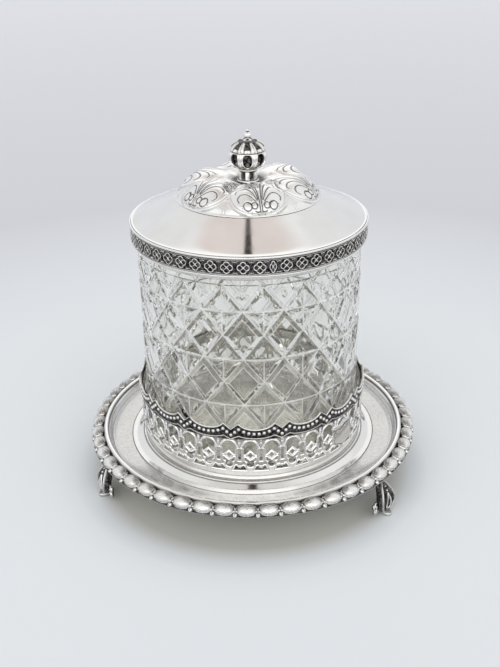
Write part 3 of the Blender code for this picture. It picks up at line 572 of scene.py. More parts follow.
EGG_COUNT = 50
EGG_PHASE = radians(4.8)
EGG_COLUMNS = 28
BORDER_LINE = [  # ground between the eggs: distance in from the edge, height above the jar's floor
    (8.3, 1.4), (8.25, 2.4), (7.9, 3.3), (6.4, 3.4), (4.4, 2.7), (2.8, 1.8), (1.7, 0.9), (1.3, 0.0),
    (1.9, -0.8), (2.6, -1.6),
]
BORDER_UNDER = [
    (2.6, -1.6), (2.9, -1.95), (3.6, -2.0), (4.2, -1.6), (4.25, 1.0), (4.3, 1.3), (8.3, 1.35),
]
BORDER_ROWS, BORDER_UNDER_ROWS = 52, 12
BORDER_GAP = 0.45  # the relief stays this far inside the CAD's edge
EGG_HALF = (6.7, 4.3)
EGG_IN = 4.5  # from the edge to the circle on which the eggs are counted
EGG_AT = 4.35  # way down the border's line to the eggs' middle
EGG_RING = 0.88  # share of the egg at which its ring begins
EGG_STEP, EGG_DOME, EGG_UNEVEN = 0.25, 2.5, 0.14
RIM_AT, RIM_HALF, RIM_HIGH = 0.95, 0.09, 0.95
EDGE_AT, EDGE_HALF, EDGE_HIGH = 0.5, 0.8, 0.7
BEAD_AT, BEAD_RADIUS = 8.1, 1.35
UNEVEN_WAVES = ((4.1, 2.3), (-1.9, 4.7))  # waves across and along the eggs, in radians a millimetre
MOTTLE_WAVES = ((2.9, 1.3), (-1.7, 3.7))
# The dark ring round each egg is lighter below the egg's middle: painted light on its lower rim.
GROUND_SHARE, RING_TONE_HALF, LIT_LOWER_RING_TONE = 1.03, 0.06, 0.3
BEAD_TONES = ((0.9, 0.03), (0.3, 0.7))  # within this share of the bead, tone
BORDER_ENDS = ((0.9, 0.2), (9.3, 0.6))  # before and past this way down the line, tone
# The border's underside: dull unpolished plate and painted shade.
BORDER_UNDER_DULL_AND_SHADE = 0.6
UPPER_SHADE_REACH = (0.4, 9, 2.2)  # painted shade over the eggs' upper halves, broken up by the mottle: how far it reaches past the egg's middle, its bow and its fade
UPPER_SHADE_TONES = (0.35, 0.8)


def waves(waves_in, u, way):
    """Two crossed waves over the border."""
    first, second = (np.sin(u * across + way * along) for across, along in waves_in)
    return first * second


def make_border():
    form = Form()
    top = resampled(rounded(BORDER_LINE, 3), BORDER_ROWS)
    under = resampled(rounded(BORDER_UNDER, 2), BORDER_UNDER_ROWS)[1:-1]
    columns = EGG_COUNT * EGG_COLUMNS
    azimuth = around(columns, EGG_PHASE)
    way = way_along(top)[:, None]
    steps = np.gradient(top, axis=0)
    inward, upward = unit(np.stack([steps[:, 1], -steps[:, 0]], axis=1)).T[..., None]
    pitch = tau * (BORDER_RADIUS - EGG_IN) / EGG_COUNT
    u = ((np.arange(columns) / EGG_COLUMNS + 0.5) % 1 - 0.5)[None, :] * pitch
    egg = np.hypot(u / EGG_HALF[0], (way - EGG_AT) / EGG_HALF[1])
    dome = EGG_STEP + EGG_DOME * np.sqrt(held(1 - (egg / EGG_RING) ** 2))
    dome = dome + EGG_UNEVEN * waves(UNEVEN_WAVES, u, way)
    rim = RIM_HIGH * bump_of(np.abs(egg - RIM_AT), RIM_HALF)
    relief = np.maximum(np.where(egg < EGG_RING, dome, 0), rim)
    bead = np.hypot(pitch / 2 - np.abs(u), way - BEAD_AT) / BEAD_RADIUS
    relief = np.maximum(relief, BEAD_RADIUS * np.sqrt(held(1 - bead**2)))
    relief = np.maximum(relief, EDGE_HIGH * bump_of(way - EDGE_AT, EDGE_HALF))
    # Lighter below the egg's middle: painted light on the ring's lower rim.
    ring_tone = np.where(way > EGG_AT + 1, LIT_LOWER_RING_TONE, 1.0)
    tone = np.where(egg > GROUND_SHARE, 1.0, ring_tone * bump_of(np.abs(egg - EGG_RING), RING_TONE_HALF))
    for share, bead_tone in BEAD_TONES:
        tone = np.where(bead < share, bead_tone, tone)
    (start, start_tone), (end, end_tone) = BORDER_ENDS
    tone = np.where(way < start, start_tone, np.where(way > end, end_tone, tone))
    # Painted shade over the upper half of each egg, broken up by crossed waves.
    past, bow, fade = UPPER_SHADE_REACH
    upper_half_shade = held((EGG_AT + past - way + u**2 / bow) / fade) * (egg < EGG_RING - 0.02)
    mottle = np.interp(waves(MOTTLE_WAVES, u, way), (-1, 1), UPPER_SHADE_TONES)
    tone = np.maximum(tone, mottle * upper_half_shade)
    radius = BORDER_RADIUS - np.maximum(top[:, :1] + inward * relief, BORDER_GAP)
    upper = polar(radius, azimuth, FLOOR + top[:, 1:] + upward * relief)
    lower = polar(BORDER_RADIUS - under[:, :1], azimuth, FLOOR + under[:, 1:])
    # The border's underside: dull unpolished plate and painted shade.
    tones = np.concatenate([tone, np.full((len(under), columns), BORDER_UNDER_DULL_AND_SHADE)])
    form.grid(np.concatenate([upper, lower]), tones, wrap_rows=True, wrap_columns=True)
    form.made("tray_border_cast", "stand", CAST, "silver_plate", ["tray_border"])


# Pierced gallery

CELL_COUNT = 35
CELL_PHASE = radians(-1.3)
CELL = tau * WALL_RADIUS / CELL_COUNT
WALL_SHEET = 1.0
WALL_STRIPS = 5
WALL_TONES = [(18.0, 0.0), (22.0, 0.1), (25.0, 0.45), (28.0, 0.8)]  # height above the jar's floor, tone
# The back of the wall and the walls of its holes are painted darker: painted shade.
WALL_BACK_SHADE = 0.35
WALL_FOOT = [  # plain band under the holes: distance out, height above the jar's floor
    (-1.0, 8.4), (-0.05, 8.4), (0.05, 8.3), (0.05, 8.3), (0.05, 0.3), (0.05, 0.3), (0.0, 0.05), (-1.0, 0.05),
]
HOLE_BEAD, HOLE_WIDER, HOLE_INSET = 0.5, 0.3, 0.05
RIB_OUT, RIB_PARTS = 0.2, 12
KEYHOLE = (0, 13.9, 2.5)
ARCH = (0, 26.3, 4.4)
DIAMOND = [(0, -1), (1, 0), (0, 1), (-1, 0)]
DIAMOND_AT = 20.2
DIAMOND_HALF = np.array((2.05, 2.35))
FRAME_HALF = np.array((2.5, 2.9))
GUSSET_TOP = 31.6
POST_HALF = 1.75
KNOBS = ((29.3, (0.95, 1.0, 0.7)), (25.5, (1.6, 0.5, 0.6)), (12.0, (1.2, 1.0, 0.6)))  # height, half sizes


def gallery_seam(base, top):
    """The line along which one repeat of the gallery meets the next, clear of all its holes."""
    x, y, radius = ARCH
    over = circle(x, y, radius + 0.35, -5, 90, 9)
    return [(1.2, base), (1.2, 9.9), (2.95, 12.5), (4.7, 14.6), (4.75, 22.0), *map(tuple, over), (0, top)]


def gallery_holes():
    """The holes of one repeat, x from the keyhole's middle and y above the jar's floor."""
    half = CELL / 2
    flare = [(3.4, 15.8), (3.8, 18.9), (3.0, 18.9), (0.3, 16.4), (0, 16.3)]
    keyhole = mirrored([(0, 11.4), *circle(*KEYHOLE, -78, 34, 9), *flare])
    diamond = DIAMOND_HALF * DIAMOND + (0, DIAMOND_AT)
    legs = [(0, 23.9), (2.9, 20.7), (3.6, 20.3), (4.1, 21.2)]
    arch = mirrored([*legs, *circle(*ARCH, -20, 84, 12), (0, 30.7)])
    slot = [(half - 1.3, 16.0), (half + 1.3, 16.0), (half + 1.3, 24.9), (half - 1.3, 24.9)]
    foot = [(half - 4.9, 8.9), (half + 4.9, 8.9), (half + 2.6, 12.8), (half + 1.4, 12.8)]
    foot += [*circle(half, 12.8, 1.2, -20, -160, 7), (half - 1.4, 12.8), (half - 2.6, 12.8)]
    side = half - 0.55
    gusset = np.array([
        *circle(0, ARCH[1], 5.15, 8, 66, 7), (2.3, GUSSET_TOP), (side, GUSSET_TOP), (side, 26.1), (5.6, 25.9),
    ])
    holes = [keyhole, diamond, arch, slot, foot, gusset, gusset * (-1, 1)]
    return [np.asarray(hole, float) for hole in holes]


def make_gallery():
    form = Form()
    right = gallery_seam(WALL_FOOT[0][1] - 0.1, WALL_TOP - FLOOR)
    left = [(x - CELL, y) for x, y in right]
    holes = gallery_holes()
    turns = around(CELL_COUNT, CELL_PHASE)
    within = [hole - (CELL, 0) if hole[:, 0].mean() > KEYHOLE[2] else hole for hole in holes]
    outlines = [left + right[::-1], *within]
    points, triangles = filled(outlines, -WALL_SHEET, 0.0, CELL / WALL_STRIPS, left + right)
    front = np.interp(points[:, 1], *np.transpose(WALL_TONES))
    # Painted shade on the back of the wall and in its holes.
    tones = np.where(points[:, 2] < -WALL_SHEET / 2, WALL_BACK_SHADE, front)
    for turn in turns:
        placed = polar(WALL_RADIUS + points[:, 2], turn + points[:, 0] / WALL_RADIUS, FLOOR + points[:, 1])
        form.triangles.append(form.add(placed, tones)[triangles])
    form.turned(moved(WALL_FOOT, WALL_RADIUS, FLOOR), 4 * CELL_COUNT, closed=True)
    for hole in holes:
        wider = hole + HOLE_WIDER * unit(hole - hole.mean(axis=0))
        line = resampled(wider, 8 * max(4, round(len(hole) / 5)), closed=True)
        paths, out = laid(line, turns, WALL_RADIUS, FLOOR, -HOLE_INSET)
        form.tube(paths, out, HOLE_BEAD, sides=5)
    half = CELL / 2
    ribs = [
        (circle(ARCH[0], ARCH[1], ARCH[2] + 0.37, -22, 202, 25), 0.3),
        ([(half - POST_HALF, 15.2), (half - POST_HALF, 25.2)], 0.38),
        ([(half + POST_HALF, 15.2), (half + POST_HALF, 25.2)], 0.38),
        ([(half, 25.4), (half, GUSSET_TOP)], 0.4),
        (FRAME_HALF * [*DIAMOND, DIAMOND[0]] + (0, DIAMOND_AT), 0.36),
    ]
    for line, thick in ribs:
        line = resampled(line, max(RIB_PARTS, len(line)))
        paths, out = laid(line, turns, WALL_RADIUS, FLOOR, RIB_OUT)
        form.tube(paths, out, thick, closed=False)
    azimuth = turns + half / WALL_RADIUS
    for y, size in KNOBS:
        knob = polar(WALL_RADIUS + HOLE_INSET, azimuth, FLOOR + y)
        form.blobs(knob, directions(azimuth), size, 0.03, 4)
    form.made("gallery_wall_pierced", "stand", PIERCED, "silver_plate", ["gallery_wall"], weld=True)


# Crest

CREST_COUNT = 15
CREST_PHASE = radians(-10.2)
CREST_COLUMNS = 48
CREST_ROWS = 9
CREST_SHEET = 1.2
CREST_PEAK = radians(3.7)
CREST_UNIT = tau / CREST_COUNT
CREST_DIP = 4.6  # from the crest's top down to its notches and the middles of its scallops
CREST_WIRE = 0.5
CREST_UNDER = 0.6  # how far the strip reaches below the CAD's
CREST_TONES = (0.97, 0.12)  # front, back
CREST_THICK = (0.36, 0.52)  # radius of the top wire at a notch and along a scallop
CREST_LINE = (0.25, 2.8, 0.9)  # heights of the line over the strip's foot
BOWL_FULL, BOWL_DEPTH = 0.96, 0.72
CREST_PEARLS = [  # share of the way to the peak, drop from the top
    (0.0, 8.3), (-0.5, 6.2), (0.5, 6.2), (-1.0, 4.15), (1.0, 4.15),
]
PEARL_DROP = 2.7
PEARL_HALF = (1.12, 1.2, 0.75)
SCALLOP_PEARLS = 6


def from_notch(azimuth):
    """The angle to the nearest notch of the crest."""
    return np.abs((azimuth - CREST_PHASE + CREST_UNIT / 2) % CREST_UNIT - CREST_UNIT / 2)


def crest_line(azimuth, notch, peak, dip):
    """A height round the crest: notch at the V, peak beside it, dip in the scallop's middle."""
    turn = from_notch(azimuth)
    share = turn / CREST_PEAK
    sweep = held((CREST_UNIT / 2 - turn) / (CREST_UNIT / 2 - CREST_PEAK))
    bowl = dip + (peak - dip) * (1 - np.sqrt(held(1 - (sweep * BOWL_FULL) ** 2))) / BOWL_DEPTH
    return np.where(share < 1, notch + (peak - notch) * share, bowl)


def make_crest():
    form = Form()
    height = CREST_TOP - FLOOR
    edge_shape = (height - CREST_DIP, height - CREST_WIRE, height - CREST_DIP)
    base = CREST_BOTTOM - FLOOR - CREST_UNDER
    azimuth = around(CREST_COUNT * CREST_COLUMNS, CREST_PHASE)
    top = crest_line(azimuth, *edge_shape)
    rise = base + (top - base) * np.linspace(1, 0, CREST_ROWS)[:, None]
    front = polar(CREST_RADIUS - 0.25, azimuth, FLOOR + rise)
    back = polar(CREST_RADIUS - CREST_SHEET, azimuth, FLOOR + rise[::-1])
    tone = np.repeat(CREST_TONES, CREST_ROWS)[:, None]
    form.grid(np.concatenate([front, back]), tone, wrap_rows=True, wrap_columns=True)
    out = polar(1.0, azimuth, 0.0)
    thick = np.where(from_notch(azimuth) < CREST_PEAK, *CREST_THICK)
    line = crest_line(azimuth, *(base + height for height in CREST_LINE))
    wires = ((0.6, top, thick, 0.02, 8), (0.22, line, 0.24, 0.1, 6), (0.35, base + 0.2, 0.2, 0.75, 5))
    for inset, heights, radius, tone, sides in wires:
        form.tube(polar(CREST_RADIUS - inset, azimuth, FLOOR + heights), out, radius, tone, sides)
    spots = [(share * CREST_PEAK, drop) for share, drop in CREST_PEARLS]
    for step in range(SCALLOP_PEARLS):
        turn = CREST_PEAK + (CREST_UNIT - 2 * CREST_PEAK) * (step + 1) / (SCALLOP_PEARLS + 1)
        edge = crest_line(np.array(CREST_PHASE + turn), 0, *edge_shape[1:])
        spots.append((turn, float(height - edge + PEARL_DROP)))
    units = around(CREST_COUNT, CREST_PHASE)
    for turn, drop in spots:
        centre = polar(CREST_RADIUS - 0.3, units + turn, CREST_TOP - drop)
        form.blobs(centre, directions(units + turn), PEARL_HALF, 0.03, 5, 14)
    form.made("gallery_crest_pearled", "stand", OXIDISED, "oxidised_silver", ["gallery_crest"])


# Cartouche

CARTOUCHE = [  # azimuth in degrees, height above the jar's floor
    (50.9, 29.1), (50.9, 29.1), (53.6, 28.2), (56.2, 28.8), (57.0, 28.3), (56.6, 26.0), (57.4, 22.3),
    (58.7, 17.5), (58.8, 13.8), (56.8, 12.1), (54.2, 11.7), (51.9, 10.4), (50.7, 9.4), (50.7, 9.4),
    (49.4, 10.6), (47.0, 12.0), (44.6, 13.2), (43.1, 15.4), (43.0, 18.7), (43.1, 22.3), (42.4, 24.3),
    (41.5, 26.2), (42.0, 27.2), (45.2, 26.4), (48.2, 27.0),
]
CARTOUCHE_MIDDLE = np.array((50.4, 19.5))
CARTOUCHE_ROWS = np.array([  # share of the way from the middle to the edge, distance out
    (0.0, 0.95), (0.3, 0.92), (0.6, 0.88), (0.8, 0.85), (0.9, 0.82), (0.93, 0.62), (0.955, 0.62),
    (0.975, 0.9), (0.99, 0.8), (1.0, 0.55), (1.0, 0.3), (0.9, 0.3), (0.5, 0.3),
])
CARTOUCHE_GROOVE = (5, 6)


def make_cartouche():
    form = Form()
    edge = resampled(rounded(CARTOUCHE, 2, True), 96, closed=True)[::-1]
    share, out = CARTOUCHE_ROWS[1:, :1], CARTOUCHE_ROWS[1:, 1:]
    flat = CARTOUCHE_MIDDLE + (edge[None] - CARTOUCHE_MIDDLE) * share[..., None]
    points = polar(WALL_RADIUS + out, np.radians(flat[..., 0]), FLOOR + flat[..., 1])
    tone = np.zeros(len(CARTOUCHE_ROWS))
    tone[list(CARTOUCHE_GROOVE)] = 0.8
    azimuth, height = radians(CARTOUCHE_MIDDLE[0]), FLOOR + CARTOUCHE_MIDDLE[1]
    ends = [polar(WALL_RADIUS + CARTOUCHE_ROWS[row, 1], azimuth, height) for row in (0, -1)]
    form.closed_grid(points, *ends, tone[1:, None])
    form.made("gallery_cartouche_shield", "stand", POLISHED, "silver_plate", ["gallery_cartouche"])


# Feet

FOOT_LEAN = radians(13)
FOOT_BOW, FOOT_BOW_LENGTH = 2.8, 21
FOOT_OUT, FOOT_RISE = 1.0, 3.2
LEAF_LINE = [
    (0, 0), (0, 0), (4.2, 0.9), (6.9, 4.2), (7.4, 7.8), (6.3, 12.0), (4.3, 16.2), (2.5, 19.8), (0, 22.6),
    (0, 22.6),
]
LEAF_MIDDLE = 9.5
LEAF_ROWS = np.array([  # share of the way from the leaf's middle to its edge, distance proud, tone
    (0.15, -0.6, 1.0), (0.4, -0.5, 1.0), (0.65, -0.3, 1.0), (0.85, 0.1, 0.95), (0.97, 0.5, 0.6),
    (1.04, 0.5, 0.3), (1.08, -0.2, 0.9), (1.04, -3.2, 1.0), (0.85, -5.4, 1.0), (0.4, -6.2, 1.0),
])
LEAF_FRONT, LEAF_BACK = -0.65, -6.2
LEAF_RIM_SHARE = 0.98
RIM_WIRE, DROP_WIRE = (0.6, 0.5, 0.25), (0.5, 0.6, 0.0)  # distance proud, radius, tone
SWEEP_WIRE, BRACE_WIRE = (-1.2, 0.9, 0.15), (-2.0, 1.3, 0.97)
DROP_LINE = [(0, 2.4), (2.0, 3.0), (2.9, 5.6), (1.9, 9.0), (0, 13.8), (0, 13.8)]
LEAF_BEADS = [(15.6, 0.7), (18.2, 0.5), (24.4, 1.3)]  # way up the leaf, radius
LEAF_BEAD_OUT, LEAF_BEAD_HIGH = 0.5, 1.1
VOLUTES = ((9.7, 7.9, 3.0, 150, -1.35), (8.3, 2.9, 2.5, 120, -1.3))  # x, y, radius, start, turns
CURL_BACK, CURL_END, CURL_THICK = -3.8, 0.45, (0.95, 0.55)
EYE_HALF = (0.8, 0.8, 1.0)
# A dark disc behind each volute is painted shade, seen through the gaps of its curl.
SHADE_DISC_BEHIND, SHADE_DISC_SHARE, SHADE_DISC_HALF = 1.2, 0.8, 0.9
SWEEP_LINE = [(1.4, 21.5), (3.0, 23.5), (4.6, 26.0), (5.4, 28.2)]
BRACE_LINE = [(2.2, 12.0), (3.9, 15.0), (3.6, 19.0), (4.9, 23.0), (5.2, 27.5)]
STRAP_LINE = [(0, 1.0), (0, 12.0), (0, 24.0), (0, 28.5)]
STRAP_WIDTHS = [(1.0, 2.0), (12.0, 2.4), (20.0, 2.2), (28.5, 4.6)]
STRAP_BACK, STRAP_HALF = -2.6, 1.1
PAD_SEAT, PAD_DROP = 4.8, 0.5  # in from the tray's edge, down from the tray
PAD_HALF = (6.0, 3.6, 1.3)
PAD_POLE = 0.12
STRAP_SQUARE, PAD_SQUARE, PAD_LEVEL, PAD_SPREAD = 0.6, 0.45, 0.4, 0.3  # powers, squarer when lower
TOE_TONES = (2.4, 0.8, 0.25)  # dark over this height and light below it
TOE_LINE = [
    (0, 5.4), (1.3, 5.3), (2.2, 4.4), (1.9, 3.6), (2.5, 2.8), (3.0, 1.6), (2.95, 0.5), (2.6, 0), (2.6, 0),
    (0, 0),
]
TOE_LENGTH = 1.55
TOE_STEPS = 28


def make_foot(name, azimuth, toe):
    """A foot whose toe stands at this azimuth and distance from the axis."""
    form = Form()
    right, up, out = directions(azimuth)

    def at(x, along, front):
        """x across, along the leaning leaf from its foot, and proud of it."""
        x, along, front = (part[..., None] for part in np.broadcast_arrays(x, along, front))
        bow = FOOT_BOW * np.sin(pi * held(along / FOOT_BOW_LENGTH))
        radial = toe + FOOT_OUT + bow - along * sin(FOOT_LEAN) + front * cos(FOOT_LEAN)
        height = FOOT_RISE + along * cos(FOOT_LEAN) + front * sin(FOOT_LEAN)
        return x * right + radial * out + height * up

    def wire(line, front, radius, tone, sides=7, closed=False):
        form.tube(at(line[:, 0], line[:, 1], front), facing, radius, tone, sides, closed)

    facing = at(0, 0, 1) - at(0, 0, 0)
    axes = (right, up, out)
    leaf = resampled(mirrored(rounded(LEAF_LINE, 2)), 64, closed=True)
    middle = np.array((0.0, LEAF_MIDDLE))
    flat = middle + (leaf[None] - middle) * LEAF_ROWS[:, :1, None]
    ends = [at(0, LEAF_MIDDLE, front) for front in (LEAF_FRONT, LEAF_BACK)]
    form.closed_grid(at(flat[..., 0], flat[..., 1], LEAF_ROWS[:, 1:2]), *ends, LEAF_ROWS[:, 2:], (1.0, 0.8))
    wire(leaf * (LEAF_RIM_SHARE, 1), *RIM_WIRE, sides=8, closed=True)
    wire(resampled(mirrored(rounded(DROP_LINE, 2)), 40, True), *DROP_WIRE, closed=True)
    for along, size in LEAF_BEADS:
        form.blobs(at(0, along, LEAF_BEAD_OUT), axes, (size, size, LEAF_BEAD_HIGH), 0.05, 4)
    for side in (-1, 1):
        for x, y, size, start, turns in VOLUTES:
            curl = spiral(x, y, size, CURL_END, start, turns, 30) * (side, 1)
            wire(curl, CURL_BACK, np.linspace(*CURL_THICK, len(curl)), 0.03)
            form.blobs(at(side * x, y, CURL_BACK), axes, EYE_HALF, 0.05, 4, 10, whole=True)
            # Painted shade behind the volute.
            shade_disc = (size * SHADE_DISC_SHARE, size * SHADE_DISC_SHARE, SHADE_DISC_HALF)
            form.blobs(at(side * x, y, CURL_BACK - SHADE_DISC_BEHIND), axes, shade_disc, 0.95, 4, 14, whole=True)
        wire(rounded(SWEEP_LINE, 2) * (side, 1), *SWEEP_WIRE)
        wire(rounded(BRACE_LINE, 2) * (side, 1), *BRACE_WIRE)
    strap = rounded(STRAP_LINE, 1)
    width = np.interp(strap[:, 1:], *np.transpose(STRAP_WIDTHS))
    loop = circle(0, 0, 1.0)
    box = squarer(loop, STRAP_SQUARE)[None, ::-1]
    solid = at(box[..., 0] * width, strap[:, 1:], STRAP_BACK + box[..., 1] * STRAP_HALF)
    ends = [at(0, strap[row, 1], STRAP_BACK) for row in (0, -1)]
    form.closed_grid(solid, *ends, 0.98, (0.98, 0.98))
    wide, deep, high = PAD_HALF
    centre = (BORDER_RADIUS - PAD_SEAT - deep) * out + up * (FLOOR - PAD_DROP - high)
    bow = np.linspace(PAD_POLE, pi - PAD_POLE, 13)[:, None, None]
    flat_round = squarer(loop, PAD_SQUARE)[None, ::-1]
    ring = flat_round[..., :1] * wide * right - flat_round[..., 1:] * deep * out
    pad = centre + np.sin(bow) ** PAD_SPREAD * ring + squarer(np.cos(bow), PAD_LEVEL) * high * up
    form.closed_grid(pad, centre + up * high, centre - up * high, 0.35, (0.35, 0.35))
    line = rounded(TOE_LINE, 2)
    rings = line[1:-1, None]
    turns = around(TOE_STEPS)[::-1, None]
    ring = rings[..., :1] * (np.sin(turns) * right + TOE_LENGTH * np.cos(turns) * out)
    tone = np.where(rings[..., 1] > TOE_TONES[0], *TOE_TONES[1:])
    ends = [toe * out + up * line[row, 1] for row in (0, -1)]
    form.closed_grid(toe * out + ring + rings[..., 1:] * up, *ends, tone, (0.1, 0.4))
    form.made(name + "_cast", "stand", CAST, "silver_plate", [name])


# Glass jar

LATTICE_COLUMNS = 18
LATTICE_ROWS = 8
LATTICE_STEP = 14
LATTICE_MARGIN = 1
LATTICE_PHASE = radians(6.2)
LATTICE_TOP = JAR_TOP - 14.6
LATTICE_FOOT = JAR_BOTTOM + 5.3
CELL_ACROSS = pi * JAR_RADIUS / LATTICE_COLUMNS
CELL_DOWN = (LATTICE_TOP - LATTICE_FOOT) / LATTICE_ROWS
GROOVE = (1.4, 2.8)  # depth and half width of a mitre cut
CROSS_CUT = (1.15, 1.7)
CROSS_CUT_ROWS = (1, 3, 5)
LEAF_CUT = (1.2, 3.1)
LOZENGE_CUT = (0.45, 2.0, 2.6)  # depth, half width and half height
FACET_TILT, FACET_SHARE = 0.95, 0.75  # depth of the facet over a cross cut, and its share of a cell
LEAF_MIDDLE_SHARE, LEAF_OVER = 0.44, 0.5
LOZENGE_SHARE, LOZENGE_STEEP = 0.3, 4
WEDGE_SHARE, WEDGE_SLOPE = 0.3, 0.4
LINE_HALF, THIN_LINE_HALF = 0.5, 0.4  # in steps of the lattice
SHADE = {  # how grey the painted shade on each face of the cutting is, and how white the painted highlight on each edge, below 0
    "valley": -0.55, "arris": -0.45, "lit": 0.0, "turned": 0.18, "flat": 0.05, "facet": 0.02,
    "wedge": 0.24, "under": 0.12, "leaf_lit": 0.0, "leaf_turned": 0.15, "hidden": 0.7, "rim_line": 0.35,
    "base": 0.35, "floor": 0.1,
}
JAR_WALL, JAR_BASE, JAR_LIP = 6.3, 9.0, 1.0
JAR_CORNER = (4, 0.3)  # radius and bow of the corner round the jar's floor
JAR_LINE = [(0, 1.2), (0, 1.2), (-0.4, 0.6), (-0.4, 0.6), (0, 0), (0, 0)]  # ring cut over the lattice
JAR_FOOT = [(-0.6, 0.6), (-1.2, 0), (-7, 0), (-9, 1)]  # from the jar's radius and bottom
JAR_HOLLOW = 1.6
PLAIN_OVER, PLAIN_UNDER = 0.2, 0.4


def from_groove(steps):
    """Steps past the nearest groove of the lattice."""
    return (steps + LATTICE_STEP) % (2 * LATTICE_STEP) - LATTICE_STEP


def lattice(i, j):
    """Depth of the cutting at step i round the jar and step j down it, and its painted shade or highlight."""
    n = LATTICE_STEP
    one, two = np.floor_divide(i + j, 2 * n), np.floor_divide(i - j, 2 * n)
    past_one, past_two = from_groove(i + j), from_groove(i - j)
    from_one, from_two = np.abs(past_one), np.abs(past_two)
    row = one - two
    sideways = (i - n * (one + two + 1)) * CELL_ACROSS / n
    across = np.abs(sideways)
    below = (j - n * row) * CELL_DOWN / n
    step = CELL_ACROSS * CELL_DOWN / np.hypot(CELL_ACROSS, CELL_DOWN) / n
    away = np.minimum(from_one, from_two) * step
    groove = GROOVE[0] * held(1 - away / GROOVE[1])
    cross = CROSS_CUT[0] * held(1 - np.abs(below) / CROSS_CUT[1])
    upper = FACET_TILT * held(1 + below / (FACET_SHARE * CELL_DOWN)) * (below <= 0)
    middle = LEAF_MIDDLE_SHARE * CELL_DOWN
    half = LEAF_CUT[1] * np.sqrt(np.clip(1 - ((below - middle) / (middle + LEAF_OVER)) ** 2, 1e-4, 1))
    leaf = LEAF_CUT[0] * held(1 - across / half) * (below > 0)
    cut_row = np.isin(row, CROSS_CUT_ROWS)
    cuts = np.where(cut_row, np.maximum(np.maximum(cross, upper), leaf), 0)
    lozenge = across / LOZENGE_CUT[1] + np.abs(below - LOZENGE_SHARE * CELL_DOWN) / LOZENGE_CUT[2]
    cuts = np.where(row == 0, LOZENGE_CUT[0] * held((1 - lozenge) * LOZENGE_STEEP), cuts)
    lit = np.where(from_one < from_two, past_one < 0, past_two > 0)
    side = np.where(lit, SHADE["lit"], SHADE["turned"])
    side = np.where(away < LINE_HALF * step, SHADE["valley"], side)
    side = np.where(np.abs(away - GROOVE[1]) < LINE_HALF * step, SHADE["arris"], side)
    on_wedge = sideways > WEDGE_SHARE * CELL_ACROSS + WEDGE_SLOPE * below
    facet = np.where(on_wedge, SHADE["wedge"], SHADE["facet"])
    under = np.where(sideways > 0, SHADE["leaf_turned"], SHADE["leaf_lit"])
    under = np.where(across < THIN_LINE_HALF * CELL_ACROSS / n, SHADE["valley"], under)
    under = np.where(across < half, under, SHADE["under"])
    plain = np.where(cut_row, np.where(below > 0, under, facet), SHADE["flat"])
    on_cross = cut_row & (np.abs(below) < THIN_LINE_HALF * CELL_DOWN / n)
    plain = np.where(on_cross, SHADE["valley"], plain)
    return np.maximum(groove, cuts), np.where(groove > cuts, side, plain)


def make_jar():
    form = Form()
    columns = 2 * LATTICE_COLUMNS * LATTICE_STEP
    rows = LATTICE_ROWS * LATTICE_STEP
    azimuth = around(columns, LATTICE_PHASE)
    margin = LATTICE_MARGIN
    margin_down = margin / LATTICE_STEP * CELL_DOWN
    i = np.arange(columns)[None, :]
    j = np.arange(-margin, rows + margin + 1)[:, None]
    fade = held(1 + j / margin) * held(1 + (rows - j) / margin)
    depth, shade = lattice(i, j)
    height = LATTICE_TOP - j * CELL_DOWN / LATTICE_STEP
    # Painted shade on the glass behind the gallery.
    shade = np.where(height < CREST_BOTTOM + 2, np.maximum(shade, SHADE["hidden"]), shade)
    shade = shade * np.minimum(2 * fade, 1)
    cut = polar(JAR_RADIUS - depth * fade, azimuth, height)
    inner = JAR_RADIUS - JAR_WALL
    floor = JAR_BOTTOM + JAR_BASE
    corner, bow = JAR_CORNER
    inside = rounded([
        (0, floor), (inner / 2, floor), (inner - corner, floor + bow), (inner, floor + corner),
        (inner, JAR_TOP - JAR_LIP),
    ], 1)
    upper = rounded([
        (inner, JAR_TOP - JAR_LIP), (inner + JAR_LIP, JAR_TOP), (JAR_RADIUS - JAR_LIP, JAR_TOP),
        (JAR_RADIUS, JAR_TOP - JAR_LIP), *moved(JAR_LINE, JAR_RADIUS, LATTICE_TOP + margin_down + PLAIN_OVER),
    ], 1)
    under = rounded([
        (JAR_RADIUS, LATTICE_FOOT - margin_down - PLAIN_UNDER), *moved(JAR_FOOT, JAR_RADIUS, JAR_BOTTOM),
        (0, JAR_BOTTOM + JAR_HOLLOW),
    ], 1)
    rings = [polar(line[:, :1], azimuth, line[:, 1:]) for line in (inside[1:-1], upper, under[1:-1])]
    points = np.concatenate([rings[0], rings[1], cut, rings[2]])
    first = len(inside) - 2 + len(upper)
    down = np.arange(len(points) - 1)[:, None] - first - margin
    turn = 2 * LATTICE_STEP
    from_one = np.minimum((i + down + 1) % turn, -(i + down + 1) % turn)
    from_two = np.minimum((i - down) % turn, -(i - down) % turn)
    # Painted shade on the jar's inner floor, on the cut ring over the lattice and on the base.
    inside_shade = np.where(inside[1:-1, 1] < floor + 2, SHADE["floor"], 0.0)
    on_line = (upper[:, 0] < JAR_RADIUS - 0.2) & (upper[:, 1] <= JAR_TOP - 2 * JAR_LIP)
    upper_shade = np.where(on_line, SHADE["rim_line"], 0.0)
    base = np.full(len(under) - 2, SHADE["base"])
    shades = [inside_shade[:, None], upper_shade[:, None], shade, base[:, None]]
    shades = np.concatenate([np.broadcast_to(part, (len(part), columns)) for part in shades])
    ends = [(0, 0, floor), (0, 0, under[-1, 1])]
    form.closed_grid(points, *ends, shades, (SHADE["floor"], SHADE["base"]), falling=from_two < from_one)
    form.made("glass_jar_cut", "jar", GLASS, "cut_glass", ["glass_jar"], sharp=9)


# Lid shell, wires, bezel and band

